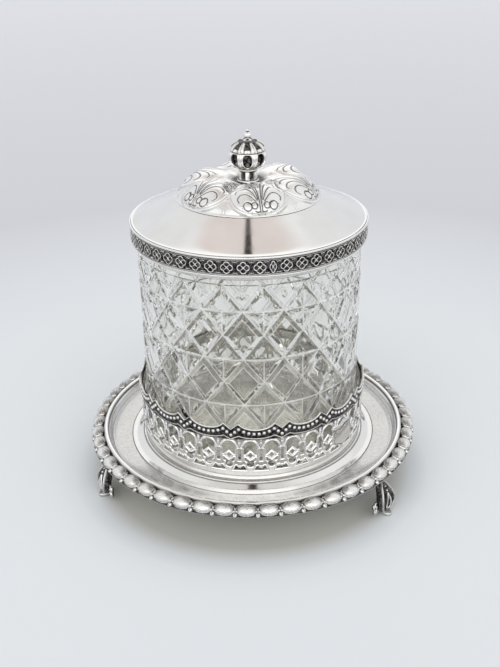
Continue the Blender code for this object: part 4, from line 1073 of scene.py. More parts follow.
SHELL_SHEET = 1.0
STUD_ROOM = 0.3
DOME_SEAT = 1.4  # from the dome's edge in to the shell's shoulder
SHELL_CROWN = [(-8, -0.1), (0, -0.45), (3, -2.0), (9, -5.2)]  # from the dome's seat and the shell's top
SHELL_EDGE = [  # from the shell's radius and the rim wire's top
    (-6, 2.5), (-0.9, 0.4), (0.3, 0.22), (0.7, 0.12), (0.6, 0.05), (0, -0.1), (0, -1.0),
]
SHELL_FOOT = [(0, 0.4), (-0.2, 0), (-0.7, 0)]  # from the shell's radius and bottom
SHELL_INSIDE_EDGE = [(-SHELL_SHEET, -1.6), (-6.3, 1.4)]
SHELL_INSIDE_CROWN = [(9, -6.3), (0, -1.5), (-8, -1.1)]
LID_STEPS = 288


def make_lid_shell():
    form = Form()
    shoulder = reach("lid_rim_wire")[2]
    hole = STUD_RADIUS + STUD_ROOM
    seat = DOME_RADIUS - DOME_SEAT
    out = [
        (hole, SHELL_TOP), (hole, SHELL_TOP), *moved(SHELL_CROWN, seat, SHELL_TOP),
        *moved(SHELL_EDGE, SHELL_RADIUS, shoulder), *moved(SHELL_FOOT, SHELL_RADIUS, SHELL_BOTTOM),
    ]
    back = [
        (SHELL_RADIUS - SHELL_SHEET, SHELL_BOTTOM + 0.3), *moved(SHELL_INSIDE_EDGE, SHELL_RADIUS, shoulder),
        *moved(SHELL_INSIDE_CROWN, seat, SHELL_TOP),
        (hole, SHELL_TOP - SHELL_SHEET), (hole, SHELL_TOP - SHELL_SHEET),
    ]
    form.turned(np.vstack([rounded(out, 3), rounded(back, 3)]), LID_STEPS, closed=True)
    form.made("lid_shell_spun", "lid", POLISHED, "silver_plate", ["lid_shell"])


def make_wires():
    for name in ("lid_rim_wire", "lid_base_wire"):
        form = Form()
        radius, low, high = reach(name)
        half = (high - low) / 2
        azimuth = around(LID_STEPS)
        form.tube(polar(radius - half, azimuth, low + half), polar(1.0, azimuth, 0.0), half, sides=14)
        form.made(name + "_drawn", "lid", POLISHED, "silver_plate", [name])


BEZEL_SHEET = 1.0
BEZEL_ROOM = 0.7
BEZEL_SEAT = [(0.3, 0), (0, -0.4)]  # from the collar's radius and the flange's underside
BEZEL_FOOT = [(0, 2), (0.15, 1.2), (0, 0.3), (-0.5, 0), (-BEZEL_SHEET, 0.4)]  # from the collar's bottom


def make_bezel():
    form = Form()
    seat = BEZEL_TOP - BEZEL_SHEET
    collar = JAR_RADIUS - JAR_WALL - BEZEL_ROOM
    corners = [(collar - BEZEL_SHEET, BEZEL_TOP), (BEZEL_RADIUS, BEZEL_TOP), (BEZEL_RADIUS, seat)]
    line = np.repeat(corners, 2, axis=0)
    line = [*line, *moved(BEZEL_SEAT, collar, seat), *moved(BEZEL_FOOT, collar, BEZEL_BOTTOM)]
    form.turned(rounded(line, 2, closed=True), tone=0.08, closed=True)
    form.made("lid_bezel_turned", "lid", POLISHED, "silver_plate", ["lid_bezel"])


BAND_CELLS = 48
BAND_START = radians(16.2)
BAND_END = radians(364.4)
BAND_JOINT = radians(10.2)
BAND_JOINT_GAP = radians(2.6)
BAND_EDGE = np.array([(-1.3, 0), (-1.3, 0), (-0.2, 0), (-0.05, -0.2), (-0.2, -0.42), (-0.45, -0.5)])
BAND_GROUND = 0.45
PETAL_OUT, PETAL_PINCH = 1.72, 1.7
FOIL_WIRE, FOIL_INSET = 0.26, 0.27
CROSS_HALF, CROSS_INSET = 1.5, 0.33
CROSS_THICK = np.array([0.08, 0.2, 0.3, 0.2, 0.08])
BAND_GRAINS = (  # between the quatrefoils: x, y, tilt in degrees, half length, half width
    (0, 3.35, 90, 0.5, 0.34), (-0.85, 3.15, 35, 0.62, 0.26), (0.85, 3.15, 145, 0.62, 0.26),
    (-1.5, 3.75, 20, 0.42, 0.2), (1.5, 3.75, 160, 0.42, 0.2), (0, 2.3, 90, 0.22, 0.16),
)
GRAIN_HIGH = 0.38


def make_band():
    form = Form()
    middle = (BAND_BOTTOM + BAND_TOP) / 2
    ground = BAND_RADIUS - BAND_GROUND
    upper = moved(BAND_EDGE, BAND_RADIUS, BAND_TOP)
    lower = moved(BAND_EDGE[::-1] * (1, -1), BAND_RADIUS, BAND_BOTTOM)
    line = rounded([*upper, (ground, middle), *lower], 2)
    tone = np.where(line[:, 0] < BAND_RADIUS - 0.3, 0.97, 0.35)
    form.turned(line, 300, tone, closed=True)
    cells = np.linspace(BAND_START, BAND_END, BAND_CELLS + 1)
    turn = around(48)
    quarter = (turn + pi / 4) % (pi / 2) - pi / 4
    petal = PETAL_OUT * np.cos(quarter) + np.sqrt(PETAL_OUT**2 - (PETAL_PINCH * np.sin(quarter)) ** 2)
    foil = np.stack([petal * np.cos(turn), petal * np.sin(turn)], axis=1)
    for narrow, turns in ((1.0, cells), (0.55, np.array([BAND_JOINT]))):
        path, out = laid(foil * (narrow, 1), turns, BAND_RADIUS, middle, -FOIL_INSET)
        form.tube(path, out, FOIL_WIRE, 0.04)
        for side in (-1, 1):
            end = np.array((CROSS_HALF * narrow, CROSS_HALF * side))
            path, out = laid(resampled([-end, end], 5), turns, BAND_RADIUS, middle, -CROSS_INSET)
            form.tube(path, out, CROSS_THICK, 0.06, 5, closed=False)
    between = cells[:-1] + (BAND_END - BAND_START) / BAND_CELLS / 2
    between = np.append(between, [BAND_JOINT - BAND_JOINT_GAP, BAND_JOINT + BAND_JOINT_GAP])
    for side in (-1, 1):
        for x, y, tilt, long, wide in BAND_GRAINS:
            azimuth = between + x / BAND_RADIUS
            right, up, out = directions(azimuth)
            lean = radians(tilt * side)
            long_way = right * cos(lean) + up * sin(lean)
            axes = (long_way, np.cross(out, long_way), out)
            form.blobs(polar(ground, azimuth, middle + side * y), axes, (long, wide, GRAIN_HIGH), 0.1, 3, 8)
    form.made("lid_band_quatrefoils", "lid", OXIDISED, "oxidised_silver", ["lid_band"])


# Dome

DOME_LOBES = 6
DOME_PHASE = radians(10)
DOME_COLUMNS = 132
DOME_ROWS, DOME_UNDER_ROWS = 116, 10
DOME_UNDER_SHARES = (0.93, 0.8, 0.58, 0.25)  # shares of the radius at the underside's points
DOME_SHEETS = (0.8, 4.6, 3.0, 0.9)  # edge, depths under the lobes, and the sheet at the well
DOME_GUTTER = 2.6
DOME_WELL = 7.7  # height of the dome's middle over its edge
DOME_SHARES = [  # share of the radius, share of the lobes' rise over the well
    (0.165, 0), (0.18, 0.25), (0.22, 0.6), (0.3, 0.9), (0.42, 1.0), (0.58, 1.0), (0.72, 0.93),
]
DOME_EDGE_SHARES = [(0.84, 0.74), (0.94, 0.45), (0.985, 0.2), (1.0, 0.06), (1.0, 0.0)]
LOBE_RISE = 1.2
LOBE_STRETCH = 1.2
LOBE_AT_SHARE = 0.72  # widths on the lobes are true from this share of the radius in
OVAL = (18.9, 15.2, 15.0)  # half width, height of its middle and half height of the lobes' frame
INNER_OVAL = (17.2, 14.8, 13.2)
DOME_DOTS = ((10.9, 6.4), (11.3, 4.9), (1.9, 1.2), (5.6, 2.4))
DOME_LEAVES = [  # chased lines of half a lobe, x across and y up from its outer edge
    [(0.55, 1.6), (0.7, 6.0), (0.5, 9.5), (1.3, 17.0), (3.6, 23.8), (8.0, 26.3)],
    [(1.2, 9.8), (2.6, 16.5), (6.0, 22.0), (11.0, 23.2), (12.3, 21.8)],
    [(1.8, 9.4), (4.6, 15.4), (9.4, 18.8), (13.4, 17.2), (13.8, 14.8)],
    [(2.6, 8.6), (6.8, 13.2), (11.0, 13.4), (13.4, 10.8), (12.6, 8.4)],
    [(0.9, 3.0), (2.2, 2.4), (3.6, 3.2)],
]
DOME_CURLS = [(7.8, 5.8, 2.8, 2.2, 170, -1.2, 26), (3.7, 6.2, 2.0, 1.6, 170, -1.1, 18)]
CHASED_WIDTH = 0.55
PILLOW_HIGH, GUTTER_DEEP = 0.9, 0.5
FRAME_LINE, INNER_LINE = (1.02, 15, 0.8), (1.0, 14, CHASED_WIDTH)  # share of the oval, scale, half width
FRAME_TOP = (26.5, 4)  # height at which the frame's lines end, and over which they fade
DART_SLOPE, DART_APART, DART_WIDTH = 0.32, 0.6, 0.5
DART_ENDS = (0.8, 13)
CHASING = {  # depth and tone of each kind of chased work
    "cut": (0.45, 1.15), "frame": (0.5, 0.4), "inner frame": (0.3, 0.3), "darts": (0.35, 0.35),
    "dots": (0.35, 0.9),
}


def fuller(x, y):
    """1 on an outline between an oval and its box."""
    return (np.abs(x) ** 2.6 + np.abs(y) ** 2.6) ** (1 / 2.6)


def make_dome():
    form = Form()
    hole = STUD_RADIUS + STUD_ROOM
    well = DOME_BOTTOM + DOME_WELL
    swell = DOME_TOP + LOBE_RISE - well
    rise = DOME_TOP - DOME_BOTTOM
    line = [(hole, well), (hole, well)] + [(DOME_RADIUS * r, well + swell * z) for r, z in DOME_SHARES]
    line += [(DOME_RADIUS * r, DOME_BOTTOM + rise * z) for r, z in DOME_EDGE_SHARES]
    line = resampled(rounded(line, 3), DOME_ROWS)
    way = way_along(line)
    up = ((way[-1] - way) / LOBE_STRETCH)[:, None]
    columns = DOME_LOBES * DOME_COLUMNS
    azimuth = around(columns, DOME_PHASE)
    turn = ((np.arange(DOME_COLUMNS) / DOME_COLUMNS + 0.5) % 1 - 0.5) * tau / DOME_LOBES
    radius = line[:, :1]
    share_out = radius / DOME_RADIUS
    across = np.abs(turn * np.maximum(radius, DOME_RADIUS * LOBE_AT_SHARE))
    oval, inner = (fuller(across / wide, (up - at) / high) for wide, at, high in (OVAL, INNER_OVAL))
    gutter = held((oval - 1.0) / 0.3)
    share = held((share_out - DOME_SHARES[0][0]) / (1 - DOME_SHARES[0][0]))
    furrow = DOME_GUTTER * ((1 - np.cos(DOME_LOBES * turn)) / 2) ** 2 * np.sin(pi * share)
    pillow = np.sqrt(held(1 - inner**2))
    lines = [rounded(leaf, 2) for leaf in DOME_LEAVES] + [spiral(*curl) for curl in DOME_CURLS]
    chased = distance(np.stack(np.broadcast_arrays(across, up), axis=-1), lines)
    low_part = held((FRAME_TOP[0] - up) / FRAME_TOP[1])
    frame, inner_frame = (
        low_part * bump_of(np.abs(oval_at - at) * scale, width)
        for oval_at, (at, scale, width) in ((oval, FRAME_LINE), (inner, INNER_LINE))
    )
    dart_at = DOME_RADIUS * pi / DOME_LOBES - DART_APART - up * DART_SLOPE
    darts = bump_of(np.abs(across - dart_at), DART_WIDTH)
    between = (oval > 1.08) & (up > DART_ENDS[0]) & (up < DART_ENDS[1])
    dots = [bump_of(np.hypot(across - x, up - y), CHASED_WIDTH) for x, y in DOME_DOTS]
    work = {
        "cut": np.where(inner < 0.97, bump_of(chased, CHASED_WIDTH), 0),
        "frame": frame,
        "inner frame": inner_frame,
        "darts": np.where(between, darts, 0),
        "dots": np.max(dots, axis=0),
    }
    # The well round the finial is painted darker: painted shade.
    well_shade = held((oval - 1.02) / 0.12) * held((0.27 - share_out) / 0.08)
    fade = held((share_out - 0.15) / 0.08) * held(up / 1.2)
    relief = PILLOW_HIGH * pillow - GUTTER_DEEP * gutter * held(up / 5)
    tone = 0
    for kind, (deep, dark) in CHASING.items():
        relief = relief - deep * work[kind]
        tone = tone + dark * work[kind]
    tone = held(tone * fade + 0.8 * well_shade)
    steps = np.gradient(line, axis=0)
    normal = unit(np.stack([-steps[:, 1], steps[:, 0]], axis=1))
    normal = np.where(normal[:, 1:] < 0, -normal, normal)
    relief, furrow, tone = (
        np.tile(part, (1, DOME_LOBES)) for part in ((relief - PILLOW_HIGH) * fade, furrow, tone)
    )
    out = np.minimum(radius + normal[:, :1] * relief, DOME_RADIUS)
    height = np.maximum(line[:, 1:] + normal[:, 1:] * relief - furrow, DOME_BOTTOM)
    low, side, crown, foot = (DOME_RADIUS * share for share in DOME_UNDER_SHARES)
    edge, deep, high, sheet = DOME_SHEETS
    under = resampled(rounded([
        (DOME_RADIUS - edge, DOME_BOTTOM), (low, DOME_BOTTOM + rise * 0.34), (side, DOME_TOP - deep),
        (crown, DOME_TOP - high), (foot, well - sheet), (hole, well - edge),
    ], 2), DOME_UNDER_ROWS)
    points = np.concatenate([polar(out, azimuth, height), polar(under[:, :1], azimuth, under[:, 1:])])
    tones = np.concatenate([tone, np.full((len(under), columns), 0.1)])
    form.grid(points, tones, wrap_rows=True, wrap_columns=True)
    form.made("lid_dome_chased", "lid", CHASED, "silver_plate", ["lid_dome"], sharp=60)


# Finial

WINDOWS = 8
WINDOW_PHASE = radians(-1)
WAIST_RIBS = 6
WAIST_PHASE = radians(-4)
WAIST_DEEP = 0.9
COLLAR_LINE = [  # collar and waist, from the flange's top
    (0, 0), (2, 0), (6.4, 0), (6.9, -0.65), (6.4, -1.3), (6.0, -1.5), (6.0, -2.6),
]
WAIST_LINE = [(6.0, 3.2), (6.15, 1.9), (6.3, 1.55)]  # from the flange's underside
FLANGE_LINE = [(-0.3, 1.3), (0, 0.8), (-0.2, 0.15), (-0.6, 0)]
FLANGE_UNDER = 4.0
BASE_HOLLOW = (5.4, 5.5)
WAIST_FADE = ((1.6, 0.8), (1.5, 0.5))  # from the flange's underside and from the collar's top: start, length
FLUTE_FADE = (0.3, 0.25)
COLLAR_SHADOW, FLANGE_SHADOW = (1.45, 0.2, 0.9), (1.7, 0.3, 0.85)  # height, half width, tone


def make_finial_base():
    form = Form()
    z = FLANGE_BOTTOM
    bore = STUD_RADIUS + STUD_ROOM
    line = rounded([
        *moved(COLLAR_LINE, 0, FLANGE_TOP), *moved(WAIST_LINE, 0, z), *moved(FLANGE_LINE, FLANGE_RADIUS, z),
        (FLANGE_UNDER, z), (bore, z), (bore, z),
    ], 2)
    radius, height = line[1:, :1], line[1:, 1:]
    radius = np.vstack([radius, [[bore]]])
    height = np.vstack([height, [[z + BASE_HOLLOW[0]]]])
    azimuth = around(96)
    (low, low_fade), (high, high_fade) = WAIST_FADE
    waist = held((height - z - low) / low_fade) * held((FLANGE_TOP - high - height) / high_fade)
    waist = waist * (radius > bore + 0.5)
    flute = (1 - np.cos(WAIST_RIBS * (azimuth - WAIST_PHASE))) / 2
    panel = held((flute - FLUTE_FADE[0]) / FLUTE_FADE[1])
    tone = 0.97 * waist * panel
    at, half, dark = COLLAR_SHADOW
    shadow = (np.abs(height - (FLANGE_TOP - at)) < half) & (radius < WAIST_LINE[-1][0])
    tone = np.maximum(tone, np.where(shadow, dark, 0.0))
    at, half, dark = FLANGE_SHADOW
    tone = np.maximum(tone, np.where(np.abs(height - z - at) < half, dark, 0.0))
    points = polar(radius - WAIST_DEEP * waist * panel, azimuth, height)
    form.closed_grid(points, (0, 0, FLANGE_TOP), (0, 0, z + BASE_HOLLOW[1]), tone)
    form.made("finial_base_fluted", "lid", CAST, "silver_plate", ["finial_base"])


BULB_SHARES = [(0.58, 0.0), (0.67, 0.04), (0.82, 0.18), (0.95, 0.42), (1.0, 0.66), (0.97, 0.86), (0.9, 1.0)]
WINDOW_MIDDLE_SHARE = 0.6
WINDOW_HALF, WINDOW_UNDER = 2.85, 0.25  # half width, distance below the bulb's rim
FRAME_HALF_WIDTH, FRAME_UNDER, FRAME_WIRE = 3.1, 0.05, 0.3
RIB_ENDS, RIB_THICK = (0.4, 0.3), (0.35, 0.45)
WINDOW_ROWS = np.array([  # share of the way from the window to the bay's edge, depth, tone
    (0, 1.3, 0.95), (0, 0.25, 0.7), (0.12, 0, 0.25), (0.3, 0, 0.04), (0.6, 0, 0.02), (0.85, 0, 0.02),
    (1.0, 0, 0.05),
])[:, :, None]
BULB_SHEETS = (1.3, 1.4)  # width of the bulb's lower and upper rim
CORE_INSET = 1.7
JEWEL_AT_SHARE, JEWEL_INSET = 0.42, 2.2
JEWEL_HALF = (1.7, 2.0, 1.6)
# The bright bead over each jewel is a painted glint.
SPARK_IN, SPARK_UP, SPARK_HALF = 0.1, 3.2, (1.7, 1.2, 1.3)


def cage_surface():
    """The bulb's outline from its neck up, and the way along it."""
    high = CAGE_TOP - CAGE_BOTTOM
    line = [(CAGE_RADIUS * r, CAGE_BOTTOM + high * z) for r, z in BULB_SHARES]
    line = resampled(rounded(line, 3), 60)
    return line, way_along(line)


def on_cage(at):
    """Radius and height of the bulb at this way along its outline."""
    line, way = cage_surface()
    return np.interp(at, way, line[:, 0]), np.interp(at, way, line[:, 1])


def window_outline(turn):
    """Round at the bottom, squarer at the top, half width and half height 1."""
    power = np.where(np.sin(turn) > 0, 0.62, 1.0)
    return np.stack([squarer(np.cos(turn), power), squarer(np.sin(turn), power)], axis=1)


def make_cage():
    form = Form()
    line, way = cage_surface()
    length = way[-1]
    half = CAGE_RADIUS * pi / WINDOWS
    middle = length * WINDOW_MIDDLE_SHARE
    turn = around(48, pi / 4)
    shape = window_outline(turn)
    window = shape * (WINDOW_HALF, length - middle - WINDOW_UNDER) + (0, middle)
    square = np.stack([np.cos(turn), np.sin(turn)], axis=1)
    square = square / np.abs(square).max(axis=1, keepdims=True)
    bay_edge = square * (half, length / 2) + (0, length / 2)
    share, deep, tone = WINDOW_ROWS.transpose(1, 0, 2)
    flat = window + (bay_edge - window) * share[..., None]
    copies = around(WINDOWS, WINDOW_PHASE)[:, None]
    radius, height = on_cage(flat[..., 1])
    azimuth = flat[..., 0] / CAGE_RADIUS + copies[..., None]
    form.grid(polar(radius - deep, azimuth, height), tone, wrap_columns=True)
    ring = shape * (FRAME_HALF_WIDTH, length - middle - FRAME_UNDER) + (0, middle)
    rib = np.linspace(RIB_ENDS[0], length - RIB_ENDS[1], 20)
    radius, height = on_cage(ring[:, 1])
    path = polar(radius, ring[:, 0] / CAGE_RADIUS + copies, height)
    form.tube(path, unit(path * (1, 1, 0)), FRAME_WIRE, 0.03)
    radius, height = on_cage(rib)
    path = polar(radius, copies + pi / WINDOWS, height)
    swell = RIB_THICK[0] + RIB_THICK[1] * np.sin(np.linspace(0, pi, len(rib)))
    form.tube(path, unit(path * (1, 1, 0)), swell, 0.02, 7, closed=False)
    low, high = line[0], line[-1]
    form.turned([high - (BULB_SHEETS[1], 0), high], 64, 0.3)
    form.turned([low, low - (BULB_SHEETS[0], 0)], 64, 0.3)
    form.made("finial_cage_windows", "lid", CAST, "silver_plate", ["finial_cage"])


def make_core():
    form = Form()
    line, way = cage_surface()
    inner = moved(line[::-1], -CORE_INSET, 0)
    form.turned([(0, inner[0, 1]), *inner, (0, inner[-1, 1])], 64, 0.97)
    turns = around(WINDOWS, WINDOW_PHASE)
    radius, middle = on_cage(way[-1] * JEWEL_AT_SHARE)
    radius = radius - JEWEL_INSET
    form.blobs(polar(radius, turns, middle), directions(turns), JEWEL_HALF, 0.8)
    # Painted glints over the jewels.
    form.blobs(polar(radius - SPARK_IN, turns, middle + SPARK_UP), directions(turns), SPARK_HALF, 0.0, 4)
    form.made("finial_core_jewelled", "lid", OXIDISED, "oxidised_silver", ["finial_core"])


ROOF_SHARES = [  # share of the radius, share of the height
    (0.2, 1.0), (0.2, 1.0), (0.24, 0.97), (0.22, 0.92), (0.36, 0.88), (0.55, 0.78), (0.72, 0.64),
    (0.86, 0.46), (0.95, 0.28), (1.0, 0.14), (1.0, 0.06), (0.95, 0.03), (0.85, 0.02), (0.75, 0.0),
]
ROOF_COLUMNS = 24
EAVE_DEEP = 0.08
EAVE_NOTCH = (0.15, 0.16)  # depth and half width
STRAP_HIGH, CREASE_DEEP, MIDDLE_DEEP = 0.9, 0.35, 0.2
RIB_HALF, CREASE_AT, CREASE_HALF, MIDDLE_HALF = 0.6, 0.52, 0.14, 0.09  # shares of half a leaf
RECESS = (0.38, 0.1, 0.93)
ROOF_TONES = (0.9, 0.6, 0.95)  # crease, middle line, recess


def make_roof():
    form = Form()
    rise = ROOF_TOP - ROOF_BOTTOM
    columns = np.arange(WINDOWS * ROOF_COLUMNS)
    azimuth = around(len(columns), WINDOW_PHASE + pi / WINDOWS)
    sector = np.abs((columns / ROOF_COLUMNS + 0.5) % 1 - 0.5) * 2
    lobe = np.sqrt(held(1 - (sector / 1.02) ** 2))
    eave = ROOF_RADIUS * (1 - EAVE_DEEP + EAVE_DEEP * lobe) - EAVE_NOTCH[0] * bump_of(sector, EAVE_NOTCH[1])
    line = rounded(ROOF_SHARES, 2)
    out_share, up_share = line[:, :1], line[:, 1:]
    out = held((out_share - 0.5) / 0.4)
    radius = out_share * (ROOF_RADIUS * (1 - out) + eave * out)
    crease = bump_of(np.abs(sector - CREASE_AT), CREASE_HALF)
    middle_line = bump_of(sector, MIDDLE_HALF)
    on_roof = held((out_share - 0.25) / 0.15) * (np.arange(len(line)) < len(line) * 0.75)[:, None]
    strap = STRAP_HIGH * bump_of(sector, RIB_HALF) - CREASE_DEEP * crease - MIDDLE_DEEP * middle_line
    height = np.clip(ROOF_BOTTOM + up_share * rise + on_roof * strap, ROOF_BOTTOM, ROOF_TOP)
    recess = held((sector - RECESS[0]) / RECESS[1]) * (out_share < RECESS[2])
    tone = sum(dark * part for dark, part in zip(ROOF_TONES, (crease, middle_line, recess)))
    tone = held(on_roof * tone)
    tone = np.maximum(tone, np.where(up_share < 0.04, 0.9, 0.0))
    tone = np.maximum(tone, np.where((up_share > 0.78) & (up_share < 0.96), 0.85, 0.0))
    points = polar(np.minimum(radius, ROOF_RADIUS), azimuth, height)
    form.closed_grid(points, (0, 0, ROOF_TOP), (0, 0, ROOF_BOTTOM + 0.3), tone, (0.0, 0.6))
    form.made("finial_roof_leaves", "lid", CAST, "silver_plate", ["finial_roof"])


PIP_LINE = [(0, 0), (0.8, -0.05), (1.25, -0.6), (0.95, -1.1), (0.7, -1.35)]  # from the ball's top
PIP_HIGH = 1.2
BALL_FOOT = [(1.3, 0.1), (1.2, 0), (0, 0)]
BALL_WIDER = 1.1


def make_ball():
    form = Form()
    centre = (BALL_BOTTOM + BALL_TOP - PIP_HIGH) / 2
    radius = centre - BALL_BOTTOM
    turns = np.radians(np.linspace(24, 156, 15))
    ball = np.stack([BALL_WIDER * radius * np.sin(turns), centre + radius * np.cos(turns)], axis=1)
    pip = rounded(moved(PIP_LINE, 0, BALL_TOP), 2)
    outline = np.vstack([pip, ball, moved(BALL_FOOT, 0, BALL_BOTTOM)])
    tone = np.zeros(len(outline))
    tone[np.abs(outline[:, 1] - pip[-1, 1]) < 0.2] = 0.9
    tone[outline[:, 1] < centre - 0.75 * radius] = 0.9
    form.turned(outline, 12, tone)
    form.made("finial_ball_facetted", "lid", CAST, "silver_plate", ["finial_ball"], sharp=22)


PITCH, THREAD_DEEP, THREAD_ROWS = 0.7, 0.3, 8
FIXING_ROOM, FIXING_SOFT = 0.25, 0.2


def make_fixing():
    form = Form()
    rows = round((STUD_TOP - STUD_BOTTOM) / PITCH * THREAD_ROWS)
    height = np.linspace(STUD_TOP, STUD_BOTTOM, rows)[:, None]
    azimuth = around(24)
    thread = np.abs(((height - STUD_BOTTOM) / PITCH - azimuth / tau) % 1 - 0.5) * 2
    points = polar(STUD_RADIUS - THREAD_DEEP * thread, azimuth, height)
    form.closed_grid(points, (0, 0, STUD_TOP), (0, 0, STUD_BOTTOM), 0.25 + 0.4 * thread, (0.2, 0.2))
    form.made("finial_stud_threaded", "lid", CAST, "silver_plate", ["finial_stud"])
    bore, soft = STUD_RADIUS + FIXING_ROOM, FIXING_SOFT
    azimuth = around(72)
    for node in ("finial_washer", "finial_nut"):
        form = Form()
        outer, low, high = reach(node)
        flat = np.full(azimuth.shape, outer)
        if node == "finial_nut":
            flat = outer * cos(pi / 6) / np.cos((azimuth + pi / 6) % (pi / 3) - pi / 6)
        inner, edge = np.full(azimuth.shape, bore), np.minimum(flat, outer - 2 * soft)
        radius = np.stack([inner, edge, flat, flat, edge, inner])
        height = np.array([high, high, high - soft, low + soft, low, low])[:, None]
        form.grid(polar(radius, azimuth, height), 0.2, wrap_rows=True, wrap_columns=True)
        form.made(node + "_finished", "lid", CAST, "silver_plate", [node])


make_tray()
make_border()
make_gallery()
make_crest()
make_cartouche()
for mount in frame["record"]["mounts"]:
    x, y, _ = mount["pos_m"]
    make_foot(mount["name"].replace("_sole", ""), atan2(x, -y), np.hypot(x, y) / MM)
make_jar()
make_lid_shell()
make_wires()
make_bezel()
make_band()
make_dome()
make_finial_base()
make_cage()
make_core()
make_roof()
make_ball()
make_fixing()


# Floor, light and camera

FLOOR_HALF = 14.0 / MM
SHADOW_SHIFT = 1.5
PAPER_FAR = 3.2 / MM
SHADOW_WARM, COOL, DISTANT = (0.965, 0.965, 0.91), (0.925, 0.962, 1.0), (0.912, 0.932, 1.0)
PAPER_STOPS = (  # distance from the jar's axis, lightness, tint; the dark warm stops under the tray are a painted shadow, and the light ring just past its edge is painted light
    (0, 0.74, SHADOW_WARM), (85, 0.73, SHADOW_WARM), (98, 0.66, SHADOW_WARM), (105, 0.685, SHADOW_WARM), (113, 0.88, COOL),
    (121, 0.95, COOL), (140, 0.95, COOL), (165, 0.935, COOL), (200, 0.92, COOL), (280, 0.9, COOL),
    (590, 0.735, DISTANT), (1030, 0.755, DISTANT), (1600, 0.785, DISTANT), (2600, 0.825, DISTANT),
)


def make_floor():
    """Plain paper, toned by its distance from the jar: a painted shadow deepens the jar's soft shadow, and a
    painted light ring lies just past the tray.
    """
    mesh = bpy.data.meshes.new("floor")
    half = FLOOR_HALF * MM
    corners = [(-half, -half, 0), (half, -half, 0), (half, half, 0), (-half, half, 0)]
    mesh.from_pydata(corners, [], [(0, 1, 2, 3)])
    floor = bpy.data.objects.new("floor", mesh)
    bpy.context.scene.collection.objects.link(floor)
    paper = bpy.data.materials.new("backdrop_paper")
    paper.use_nodes = True
    tree = paper.node_tree
    tree.nodes.remove(tree.nodes["Principled BSDF"])
    moved_place = node_of(tree, "ShaderNodeVectorMath", operation="ADD")
    moved_place.inputs[1].default_value = (SHADOW_SHIFT * MM, 0, 0)
    tree.links.new(node_of(tree, "ShaderNodeTexCoord").outputs["Object"], moved_place.inputs[0])
    length = node_of(tree, "ShaderNodeVectorMath", {0: moved_place.outputs[0]}, operation="LENGTH")
    share = calculated(tree, "DIVIDE", length.outputs["Value"], PAPER_FAR * MM)
    ramp = node_of(tree, "ShaderNodeValToRGB", {"Fac": share})
    elements = ramp.color_ramp.elements
    while len(elements) < len(PAPER_STOPS):
        elements.new(0.5)
    for element, (distance_out, level, tint) in zip(elements, PAPER_STOPS):
        element.position = distance_out / PAPER_FAR
        element.color = (*(level * part for part in tint), 1)
    matt = node_of(tree, "ShaderNodeBsdfDiffuse", {"Roughness": 0.5, "Color": ramp.outputs["Color"]})
    fill(tree, tree.nodes["Material Output"], {"Surface": matt.outputs["BSDF"]})
    mesh.materials.append(paper)


TENT_LEFT, TENT_RIGHT = (0.8, 0.805, 0.8), (0.86, 0.865, 0.86)
CANOPY_FRONT, CANOPY_BACK = (0.71, 0.69, 0.664), (0.745, 0.675, 0.65)
SLIT_THIN, SLIT_WIDE = (0.04, 0.036, 0.032), (0.02, 0.018, 0.016)
SLIT_LEAN, CANOPY_LEAN = radians(0.45), radians(2.7)
SLIT_THIN_EDGE, SLIT_WIDE_EDGE = (radians(1.0), radians(1.7)), (radians(1.9), radians(2.5))
CANOPY_EDGE = (radians(14), radians(26))
HORIZON_EDGE = (sin(radians(3)), sin(radians(16)))
BEHIND, BEHIND_SIDES = (1.06, 1.06, 1.05), (0.78, 0.785, 0.79)
LOW_BEHIND, LOW_BEHIND_SIDES = (1.12, 1.12, 1.11), (0.77, 0.78, 0.8)
FRONT, LOW_FRONT = (1.05, 1.05, 1.04), (1.38, 1.37, 1.34)
HORIZON = (0.755, 0.775, 0.808)


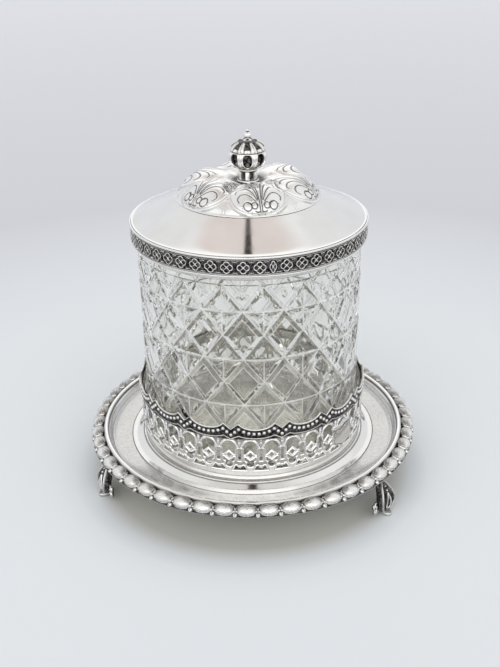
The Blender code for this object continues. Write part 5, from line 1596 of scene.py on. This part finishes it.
def make_world():
    """A light tent: pale sides, a warmer canopy with a dark slit over the jar, and white cards."""
    world = bpy.data.worlds.new("light_tent")
    bpy.context.scene.world = world
    world.use_nodes = True
    tree = world.node_tree
    ray = node_of(tree, "ShaderNodeTexCoord").outputs["Generated"]
    axes = node_of(tree, "ShaderNodeSeparateXYZ", {0: ray}).outputs
    x, y, z = axes["X"], axes["Y"], axes["Z"]
    lean = calculated(tree, "ARCTAN2", x, z)
    from_slit = calculated(tree, "ABSOLUTE", calculated(tree, "ADD", lean, SLIT_LEAN))
    from_canopy = calculated(tree, "ABSOLUTE", calculated(tree, "ADD", lean, CANOPY_LEAN))
    sideways = calculated(tree, "ABSOLUTE", x)

    def blend(value, low, high, first, second):
        """The first colour where the value is low, the second where it is high."""
        sockets = {"Value": value, "From Min": low, "From Max": high}
        spread = node_of(tree, "ShaderNodeMapRange", sockets, interpolation_type="SMOOTHSTEP")
        return mixed(tree, spread.outputs["Result"], first, second)

    tent = blend(x, -0.5, 0.5, TENT_LEFT, TENT_RIGHT)
    overhead = blend(y, 0.0, 0.2, CANOPY_FRONT, CANOPY_BACK)
    canopy = blend(from_canopy, *CANOPY_EDGE, overhead, tent)
    thin = blend(from_slit, *SLIT_THIN_EDGE, SLIT_THIN, canopy)
    wide = blend(from_slit, *SLIT_WIDE_EDGE, SLIT_WIDE, canopy)
    slit = blend(y, 0.05, 0.15, wide, thin)
    behind = blend(sideways, 0.18, 0.38, BEHIND, BEHIND_SIDES)
    low_behind = blend(sideways, 0.2, 0.33, LOW_BEHIND, LOW_BEHIND_SIDES)
    sky = blend(y, 0.44, 0.52, slit, behind)
    sky = blend(y, 0.7, 0.79, sky, low_behind)
    sky = blend(y, -0.4, -0.2, FRONT, sky)
    sky = blend(y, -0.7, -0.5, LOW_FRONT, sky)
    sky = blend(z, *HORIZON_EDGE, HORIZON, sky)
    fill(tree, tree.nodes["Background"], {"Color": sky, "Strength": 1.0})


CAMERA_PLACE = (0.0, -558.97, 374.40)
CAMERA_PITCH = 0.45676
CAMERA_ROLL = -0.01828
CAMERA_YAW = -0.00109
CAMERA_PIXELS = 929.56
PICTURE_HEIGHT = 667
SENSOR = 36.0
CLIP_NEAR, CLIP_FAR = 10.0, 100000.0


def make_camera():
    data = bpy.data.cameras.new("camera")
    data.sensor_width = SENSOR
    data.sensor_fit = "AUTO"
    data.lens = SENSOR * CAMERA_PIXELS / PICTURE_HEIGHT
    data.clip_start = CLIP_NEAR * MM
    data.clip_end = CLIP_FAR * MM
    camera = bpy.data.objects.new("camera", data)
    bpy.context.scene.collection.objects.link(camera)
    forward = Vector((
        sin(CAMERA_YAW) * cos(CAMERA_PITCH), cos(CAMERA_YAW) * cos(CAMERA_PITCH), -sin(CAMERA_PITCH)
    ))
    level = Vector((cos(CAMERA_YAW), -sin(CAMERA_YAW), 0))
    upright = level.cross(forward)
    right = cos(CAMERA_ROLL) * level + sin(CAMERA_ROLL) * upright
    up = cos(CAMERA_ROLL) * upright - sin(CAMERA_ROLL) * level
    turn = Matrix((right, up, -forward)).transposed()
    camera.matrix_world = Matrix.Translation([part * MM for part in CAMERA_PLACE]) @ turn.to_4x4()
    bpy.context.scene.camera = camera


make_floor()
make_world()
make_camera()
scene = bpy.context.scene
scene.view_settings.view_transform = "Standard"
scene.cycles.max_bounces = 40
scene.cycles.transmission_bounces = 40
scene.cycles.glossy_bounces = 16
